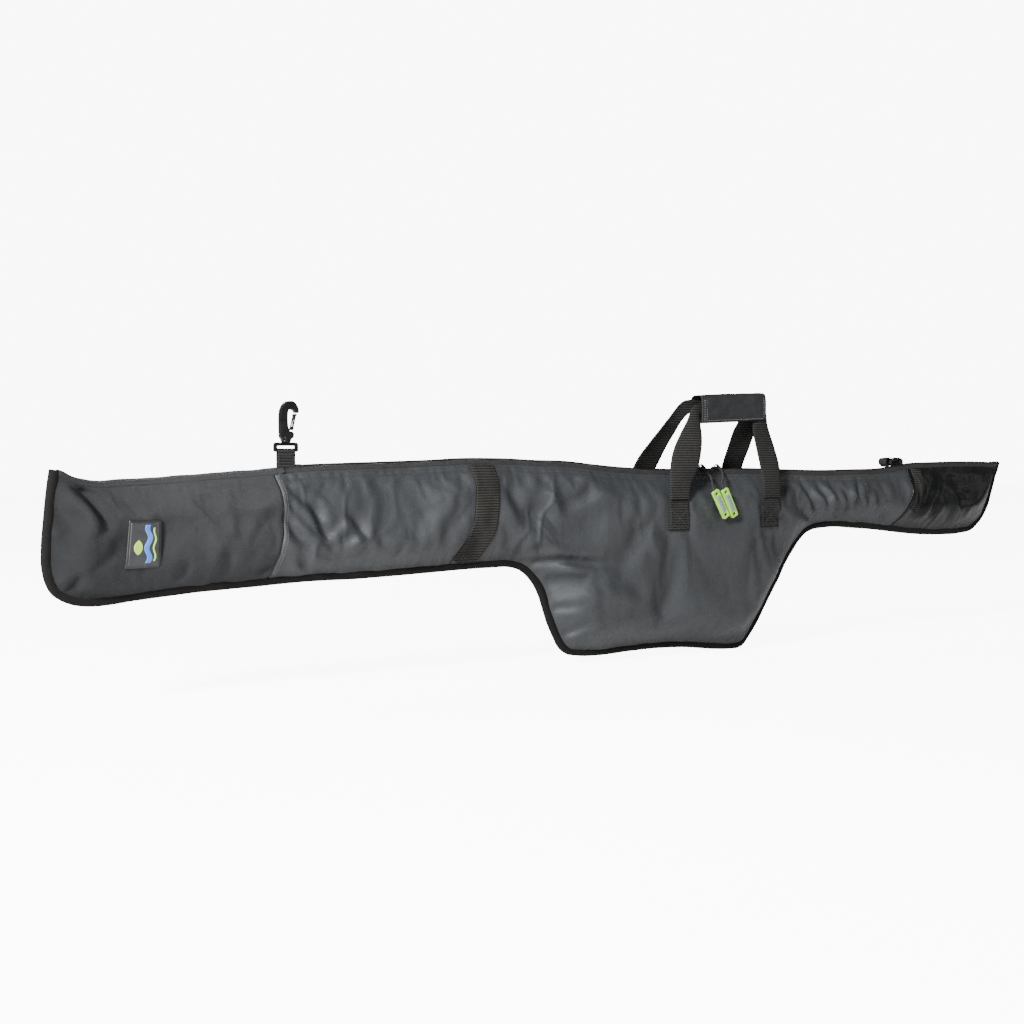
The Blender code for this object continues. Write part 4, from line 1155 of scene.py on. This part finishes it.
# ------------------------------------------------------------------ handle straps
# the two edges of each strap, (x, y, z) pairs from its left end to its right end
FRONT_STRAP = [
    ((1055, -49.5, 270), (1098, -49.5, 270)), ((1057, -46.5, 292), (1103, -48, 292)),
    ((1068, -34, 325), (1120, -46, 322)), ((1082, -24, 350), (1132, -40, 346)),
    ((1108, -14, 382), (1148, -25, 376)), ((1128, -8, 404), (1156, -12, 398)),
    ((1146, -4.6, 430), (1160, -5.0, 412)), ((1180, -2.8, 436), (1180, -2.8, 412)),
    ((1230, -2.8, 438), (1230, -2.8, 413)), ((1280, -2.8, 441), (1278, -2.8, 415)),
    ((1303, -3.0, 441), (1290, -3.2, 414)), ((1318, -4.5, 427), (1287, -6, 405)),
    ((1320, -9, 400), (1281, -12, 390)), ((1325, -22, 358), (1278, -26, 352)),
    ((1325, -33, 330), (1276, -36, 326)), ((1318, -46, 294), (1273, -47, 294)),
    ((1315, -49.5, 270), (1272, -49.5, 270))]
BACK_STRAP = [
    ((1040, 50.5, 276), (1084, 50.5, 276)), ((1041, 42, 306), (1092, 44, 306)),
    ((1052, 34, 338), (1104, 36, 336)), ((1070, 24, 366), (1114, 28, 362)),
    ((1088, 16, 390), (1126, 22, 384)), ((1104, 11, 410), (1134, 13, 404)),
    ((1130, 5.0, 438), (1150, 5.2, 420)), ((1180, 3.8, 440), (1180, 3.8, 413)),
    ((1230, 3.8, 441), (1230, 3.8, 414)), ((1280, 3.8, 442), (1270, 3.8, 415)),
    ((1303, 3.8, 441), (1268, 4.0, 413)), ((1309, 4.6, 426), (1262, 5.4, 404)),
    ((1309, 7.5, 402), (1257, 10, 392)), ((1306, 20, 364), (1253, 22, 360)),
    ((1301, 34, 328), (1250, 34, 326)), ((1302, 45, 296), (1256, 46, 296)),
    ((1306, 50.5, 276), (1262, 50.5, 276))]
STRAP_THICK = 1.7
STRAP_RIB, STRAP_RIB_PITCH = 0.38, 4.2
STRAP_CURL = 1.6   # rise of the middle over the edges
STRAP_ROLL = 0.35  # thinning at the edges


def strap(name, edges):
    # both edges are smoothed as one six-column path, so its lengths are about 1.42 times longer
    both = smooth_path([[*a, *b] for a, b in edges], 1.05 * 1.42)
    first, second = both[:, :3], both[:, 3:]
    middle = (first + second) / 2
    travel = lengths(middle)
    normal = np.cross(np.gradient(middle, axis=0), second - first)
    normal /= np.linalg.norm(normal, axis=1)[:, None]
    if normal[0, 1] * (-1 if first[0, 1] < 0 else 1) < 0:
        normal = -normal
    # keep the normal continuous where the strap turns
    for i in range(1, len(normal)):
        if normal[i] @ normal[i - 1] < 0:
            normal[i] = -normal[i]
    e = np.linspace(0, 1, 13)
    ribs = STRAP_RIB * np.cos(2 * math.pi * travel / STRAP_RIB_PITCH)[:, None]
    free = np.minimum(ease(travel / 40), ease((travel[-1] - travel) / 40))
    curl = (STRAP_CURL * free)[:, None] * (1 - (2 * e - 1) ** 2)[None]
    half = STRAP_THICK / 2 - STRAP_ROLL * (np.abs(2 * e - 1) ** 8)[None]
    base = first[:, None] * (1 - e)[None, :, None] + second[:, None] * e[None, :, None]
    upper = base + normal[:, None] * (curl + half + ribs)[..., None]
    lower = base + normal[:, None] * (curl - half + ribs * 0.6)[..., None]
    return shell(name, upper, lower, WEBBING)


def build_straps():
    for word, edges in (("front", FRONT_STRAP), ("back", BACK_STRAP)):
        piece = strap(f"handle_strap_{word}_web", edges)
        attach(piece, word + "_handle", "handle_strap_" + word)


# ------------------------------------------------------------------ padded grip
GRIP_TILT, GRIP_MIDDLE = 0.045, 1236  # slope along x, and the x where it is level
# (y, z) sections
GRIP_BASE = [(10.0, 403), (12.0, 410), (12.6, 420), (12.4, 432), (11.2, 442), (8.0, 449),
             (3.0, 452.3), (-1.5, 453)]
GRIP_FLAP = [(-2.2, 453.2), (-7.0, 452.4), (-10.8, 448.5), (-12.8, 440), (-13.2, 428),
             (-13.0, 415), (-12.4, 404.5)]


def grip_lift(x):
    return (x - GRIP_MIDDLE) * GRIP_TILT


def wrap(name, section, x0, x1, *, thick, puff, seed):
    """Padded sheet along x following a (y, z) section."""
    line = smooth_path(section, 1.5)
    tangent = directions(line)
    xs = np.linspace(x0, x1, int((x1 - x0) / 2.4))
    u, v = np.meshgrid((xs - x0) / (x1 - x0), np.linspace(0, 1, len(line)), indexing="ij")
    x = xs[:, None] * np.ones_like(v)
    from_ends = np.minimum(ease(u * 9), ease((1 - u) * 9))
    from_sides = np.minimum(ease(v * 9 + 0.2), ease((1 - v) * 7))
    ripple = waves(x, v * 50, seed, 9, (25, 90), (14, 60), height=0.5)

    def layer(offset):
        return stack(x, line[:, 0] - tangent[:, 1] * offset,
                     line[:, 1] + tangent[:, 0] * offset + grip_lift(x))

    outer = layer(-(puff + ripple) * from_ends * from_sides)
    inner = layer(thick * (0.45 + 0.55 * np.minimum(from_ends, from_sides)))
    return shell(name, outer, inner, GRIP)


def build_grip():
    base = wrap("grip_base_cloth", GRIP_BASE, 1153, 1307, thick=3.0, puff=0.8, seed=3)
    attach(base, "back_handle", "grip_wrap_base")
    flap = wrap("grip_flap_cloth", GRIP_FLAP, 1159, 1313, thick=2.8, puff=1.3, seed=8)
    attach(flap, "grip_flap", "grip_wrap_flap")
    section = smooth_path(GRIP_FLAP, 1.5)
    lines = []
    for ends in ([(1163, 407.5), (1309, 407.5)], [(1165, 409), (1165, 446)],
                 [(1170, 409), (1170, 446)], [(1307, 409), (1307, 446)]):
        x, z = smooth_path(ends, 4.0).T
        y = np.interp(-z, -section[:, 1], section[:, 0]) - 0.75
        lines.append((stack(x, y, z + grip_lift(x)), (0, -1, 0)))
    sewing = stitches("grip_flap_stitch", lines, THREAD_LIGHT, pitch=4.0, length=3.1)
    attach(sewing, "grip_flap")


# ------------------------------------------------------------------ snap hook
HOOK_X, HOOK_Z = 357.0, 326.473  # foot of the hook; the outlines below are (x, z) from here
RING = [(-18.2, 23.1), (18.2, 23.1), (19.8, 24.8), (19.8, 34.5), (17.5, 37.1), (-17.5, 37.1),
        (-19.8, 34.5), (-19.8, 24.8)]
RING_HOLE = [(-14.6, 25.9), (14.6, 25.9), (14.6, 31.8), (-14.6, 31.8)]
HOOK = [
    (-6.4, 37.5), (-6.6, 41.6), (-9.4, 44), (-9.8, 52), (-10.1, 63), (-10, 74), (-9, 84),
    (-5, 92), (1, 96.6), (8, 97.9), (15, 94.6), (19.3, 87), (20.1, 79.8), (15, 79.8),
    (12.5, 83.5), (7.5, 85.6), (3.5, 85.0), (1.8, 80), (1.6, 70), (2.2, 60), (4.4, 53.5),
    (9.5, 52.5), (12, 50.0), (11.2, 44), (6.8, 41.6), (6.4, 37.5)]
NECK = [(5.4, 36.2), (6.4, 37.4), (6.8, 38.0), (6.8, 39.4), (5.6, 40.4), (5.0, 41.4),
        (5.6, 42.6), (5.8, 44.2), (4.8, 45.6), (3.6, 46)]  # (radius, z)
GATE = [(6.4, 54.8), (11.4, 54.8), (16.8, 78.4), (12.4, 78.4)]
GATE_HOLE = [(8.4, 59.5), (10.8, 59.5), (14.4, 74.2), (12.8, 74.2)]
GATE_TOP = [(11.6, 74.6), (16.4, 74.6), (17.2, 78.7), (12.2, 78.7)]
GATE_FOOT = [(6.2, 54.8), (11.4, 54.8), (12.2, 59.0), (7.4, 59.0)]
TAB_HALF_WIDTH, TAB_THICK, TAB_RADIUS = 13.8, 1.5, 2.2


def on_hook(loop, steps=4, share=0.32):
    return rounded([(HOOK_X + x, HOOK_Z + z) for x, z in loop], steps, share)


def build_neck():
    turns = np.linspace(0, 2 * math.pi, 28, endpoint=False)
    verts = [(HOOK_X + radius * math.cos(turn), radius * math.sin(turn), HOOK_Z + z)
             for radius, z in NECK for turn in turns]
    faces = tube_faces(len(NECK), len(turns))
    attach(face_outward(make_mesh("hook_neck", verts, faces, PLASTIC)), "hook_swivel")


def build_hook_tab():
    """Webbing folded over the ring and sewn with two rows."""
    bend_z = HOOK_Z + 24.5
    leg = np.linspace(HOOK_Z - 1.4, bend_z, 8)

    def layer(radius):
        arc = [math.pi - math.pi * k / 10 for k in range(1, 10)]
        section = ([(-radius, z) for z in leg]
                   + [(radius * math.cos(a), bend_z + radius * math.sin(a)) for a in arc]
                   + [(radius, z) for z in leg[::-1]])
        xs = np.linspace(HOOK_X - TAB_HALF_WIDTH, HOOK_X + TAB_HALF_WIDTH, 16)
        return [[(x, y, z) for y, z in section] for x in xs]

    tab = shell("hook_tab_web", layer(TAB_RADIUS + TAB_THICK), layer(TAB_RADIUS), WEBBING)
    attach(tab, "case", "hook_tab")
    lines = [(np.array([(x, -3.9, HOOK_Z + z) for x in np.linspace(HOOK_X - 12, HOOK_X + 12, 12)]),
              (0, -1, 0)) for z in (2.0, 18.5)]
    attach(stitches("hook_tab_stitch", lines, THREAD_DARK, pitch=3.6, length=2.6, radius=0.4),
           "case")


def build_hook():
    ring = plate("hook_ring_metal", on_hook(RING), [on_hook(RING_HOLE, share=0.12)],
                 -1.6, 1.6, PLASTIC, bevel=0.8)
    attach(ring, "hook_ring", "hook_ring")
    body = plate("hook_body_metal", on_hook(HOOK, 3), [], -4.2, 4.2, PLASTIC,
                 bevel=1.9, segments=4)
    attach(body, "hook_swivel", "hook_body")
    build_neck()
    gate = plate("hook_gate_metal", on_hook(GATE, 3, 0.2), [on_hook(GATE_HOLE, 2, 0.2)],
                 -2.0, 2.0, METAL, bevel=0.5)
    attach(gate, "hook_gate", "hook_gate")
    for word, loop in (("top", GATE_TOP), ("foot", GATE_FOOT)):
        end = plate("hook_gate_" + word, on_hook(loop, 3, 0.25), [], -2.7, 2.7, PLASTIC, bevel=0.7)
        attach(end, "hook_gate")
    build_hook_tab()


# ------------------------------------------------------------------ hang tab
HANG_Z = top_z(1676)


def hang_loop(name, x0, half_x, half_z, curl, y_shift):
    """A flattened loop of webbing; curl lifts its tip-side end."""
    ys = np.linspace(6.5, 25.0, 7) + y_shift
    loop = []
    for turn in np.linspace(-math.pi / 2, 3 * math.pi / 2, 56):
        c, s = math.cos(turn), math.sin(turn)
        loop.append((x0 + half_x * np.sign(c) * abs(c) ** 0.55,
                     HANG_Z + 5.5 + half_z * np.sign(s) * abs(s) ** 0.75
                     + (curl if c < -0.6 else 0)))
    loop = np.array(loop)
    outward = loop - loop.mean(0)
    outward /= np.linalg.norm(outward, axis=1)[:, None]
    outer, inner = [[[(x, y, z) for y in ys] for x, z in loop + outward * offset]
                    for offset in (0.9, -0.9)]
    return shell(name, outer, inner, WEBBING)


def build_hang_tab():
    attach(hang_loop("hang_tab_web", 1677, 24, 8.6, curl=1.2, y_shift=0.0),
           "back_flap", "hang_tab")
    # loops folded inside: centre x, half length, half height
    folds = ((1683.5, 15.5, 6.4), (1683.0, 13.0, 4.2), (1682.5, 10.5, 2.0))
    for k, fold in enumerate(folds):
        piece = hang_loop(f"hang_tab_fold{k}", *fold, curl=0.0, y_shift=0.3 * (k - 1))
        attach(piece, "back_flap")
    upper, lower = [[[(x, y, HANG_Z - drop - 0.04 * (x - 1690)) for y in (4.5, 12, 20)]
                     for x in np.linspace(1690, 1716, 8)] for drop in (0.5, 2.4)]
    attach(shell("hang_tab_tail", upper, lower, WEBBING), "back_flap")


# ------------------------------------------------------------------ sliders and pulls
SLIDER_Z = 322.1
CORD_Z = SLIDER_Z - 1
# slider x, then three (x, z) corners of its tag: upper left, upper right, lower left
PULLS = {"left": (1168.0, (1143.5, 283), (1159, 284), (1172, 235)),
         "right": (1204.0, (1166, 286), (1180, 286), (1192, 237))}
# (x, z) from the slider's middle
SLIDER = [(-7.5, -2.0), (7.5, -2.0), (7.2, 1.6), (4.5, 2.8), (-4.5, 2.8), (-7.2, 1.6)]
BRIDGE = [(-5.0, 2.0), (-4.0, 5.2), (0, 6.0), (4.0, 5.2), (5.0, 2.0)]


def build_slider(key):
    x0 = PULLS[key][0]
    loop = rounded([(x0 + x, SLIDER_Z + z) for x, z in SLIDER], 3, 0.25)
    body = plate(f"slider_{key}_shell", loop, [], -5.6, 5.4, METAL, bevel=1.0)
    attach(body, "slider_" + key, f"slider_{key}_body")
    points = [(x0 + x, -1.5, SLIDER_Z + z) for x, z in BRIDGE]
    bridge = rod(f"slider_{key}_bridge", points, 1.1, METAL, sides=10, step=1.0)
    attach(bridge, "slider_" + key)


def build_pull(key):
    """A lime tag with a grey inset, hung from the slider on two cords."""
    x0, upper_left, upper_right, lower_left = PULLS[key]
    body = "pull_" + key
    top = (np.array(upper_left, float) + np.array(upper_right)) / 2
    down = np.array(lower_left, float) - np.array(upper_left)
    down /= np.linalg.norm(down)
    across = np.array([-down[1], down[0]])

    def box(start, end, half, radius, steps=3):
        """Rounded box from start to end down the tag."""
        corners = ((start + radius, -half + radius, 180), (end - radius, -half + radius, 270),
                   (end - radius, half - radius, 0), (start + radius, half - radius, 90))
        points = []
        for a, b, first_turn in corners:
            for k in range(steps + 1):
                turn = math.radians(first_turn + 90 * k / steps)
                points.append(tuple(top + (a + radius * math.cos(turn)) * down
                                    + (b + radius * math.sin(turn)) * across))
        return points

    slots = [box(3.2, 8.6, 3.4, 0.8), box(45.4, 50.8, 3.4, 0.8)]
    tag = plate(f"pull_tag_{key}_rubber", box(0, 54, 7.4, 2.6, steps=5), slots,
                -56.8, -52.0, LIME, bevel=0.9)
    attach(tag, body, "pull_tag_" + key)
    inset = plate(f"pull_tag_{key}_inset", box(11.5, 42.5, 4.4, 1.0), [],
                  -57.1, -56.2, INSET, bevel=0.25, segments=2)
    attach(inset, body)
    for k in range(5):
        loop = box(14.0 + 5.6 * k, 16.6 + 5.6 * k, 2.6, 0.5)
        rib = plate(f"pull_tag_{key}_rib{k}", loop, [], -57.7, -56.8, INSET,
                    bevel=0.2, segments=2)
        attach(rib, body)
    hole_x, hole_z = top + down * 3.0
    spread = across[0] * 1.2
    for k, sign in enumerate((-1, 1)):
        points = [(x0 + sign * 0.8, -2.0, CORD_Z + 6.2), (x0 + sign * 1.4, -7.0, CORD_Z + 3.4),
                  (x0 - 1 + sign * 1.0, -15.5, CORD_Z - 4.0),
                  ((x0 + hole_x) / 2 - sign * 0.8, -34.5, (CORD_Z + hole_z) / 2 + 5.5),
                  (hole_x + spread * sign, -49.2, hole_z + 8.5),
                  (hole_x + spread * sign, -53.6, hole_z + 1.0)]
        cord = rod(f"pull_cord_{key}_{k}", points, 1.5, TAPE, sides=8, step=2.0)
        attach(cord, body, *(["pull_cord_" + key] if k == 0 else []))


# ------------------------------------------------------------------ floor, light, camera (metres)
def build_floor():
    half, z = 14.0, -0.0012
    mesh = bpy.data.meshes.new("floor")
    corners = [(-half, -half, z), (half, -half, z), (half, half, z), (-half, half, z)]
    mesh.from_pydata(corners, [], [(0, 1, 2, 3)])
    mesh.materials.append(FLOOR_PAINT)
    floor = bpy.data.objects.new("floor", mesh)
    SCENE.collection.objects.link(floor)


def build_world():
    """White surroundings, bright to the camera and dim as a light."""
    seen, ambient = 9.0, 0.20
    world = bpy.data.worlds.new("studio")
    SCENE.world = world
    world.use_nodes = True
    tree = world.node_tree
    background = tree.nodes["Background"]
    background.inputs[0].default_value = (1.0, 1.0, 1.0, 1)
    rays = tree.nodes.new("ShaderNodeLightPath")
    strength = math_node(tree, "MULTIPLY_ADD", rays.outputs["Is Camera Ray"], seen, ambient)
    tree.links.new(strength, background.inputs[1])


def area_light(name, *, place, target, size, power):
    light = bpy.data.lights.new(name, "AREA")
    light.shape = "RECTANGLE"
    light.size, light.size_y = size
    light.energy = power
    lamp = bpy.data.objects.new(name, light)
    lamp.location = place
    aim = Vector(target) - Vector(place)
    lamp.rotation_euler = aim.to_track_quat("-Z", "Y").to_euler()
    SCENE.collection.objects.link(lamp)


def build_camera():
    data = bpy.data.cameras.new("camera")
    data.lens = 56.25
    data.sensor_width = 36.0
    camera = bpy.data.objects.new("camera", data)
    camera.location = tuple(to_world((-727.2083, -2095.48965, 345.0)))
    camera.rotation_euler = (math.radians(90 - 2.04), 0.0, math.radians(-35.4))
    SCENE.collection.objects.link(camera)
    SCENE.camera = camera


# ------------------------------------------------------------------ build
for cover_side in (FRONT, BACK):
    drape(cover_side)
build_panels()
build_binding()
build_zip()
build_bands()
build_handle_ends()
build_patch()
build_panel_stitching()
build_straps()
build_grip()
build_hook()
build_hang_tab()
for pull_key in PULLS:
    build_slider(pull_key)
for pull_key in PULLS:
    build_pull(pull_key)

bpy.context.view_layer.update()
build_floor()
build_world()
area_light("key", place=(-4.2, -1.9, 2.6), target=(0.0, 0.0, 0.25), size=(1.0, 1.0), power=1000)
area_light("fill", place=(2.6, -2.6, 1.6), target=(0.2, 0.0, 0.2), size=(1.4, 1.4), power=20)
area_light("rim", place=(0.4, 2.6, 2.4), target=(0.0, 0.0, 0.3), size=(3.0, 0.8), power=70)
build_camera()
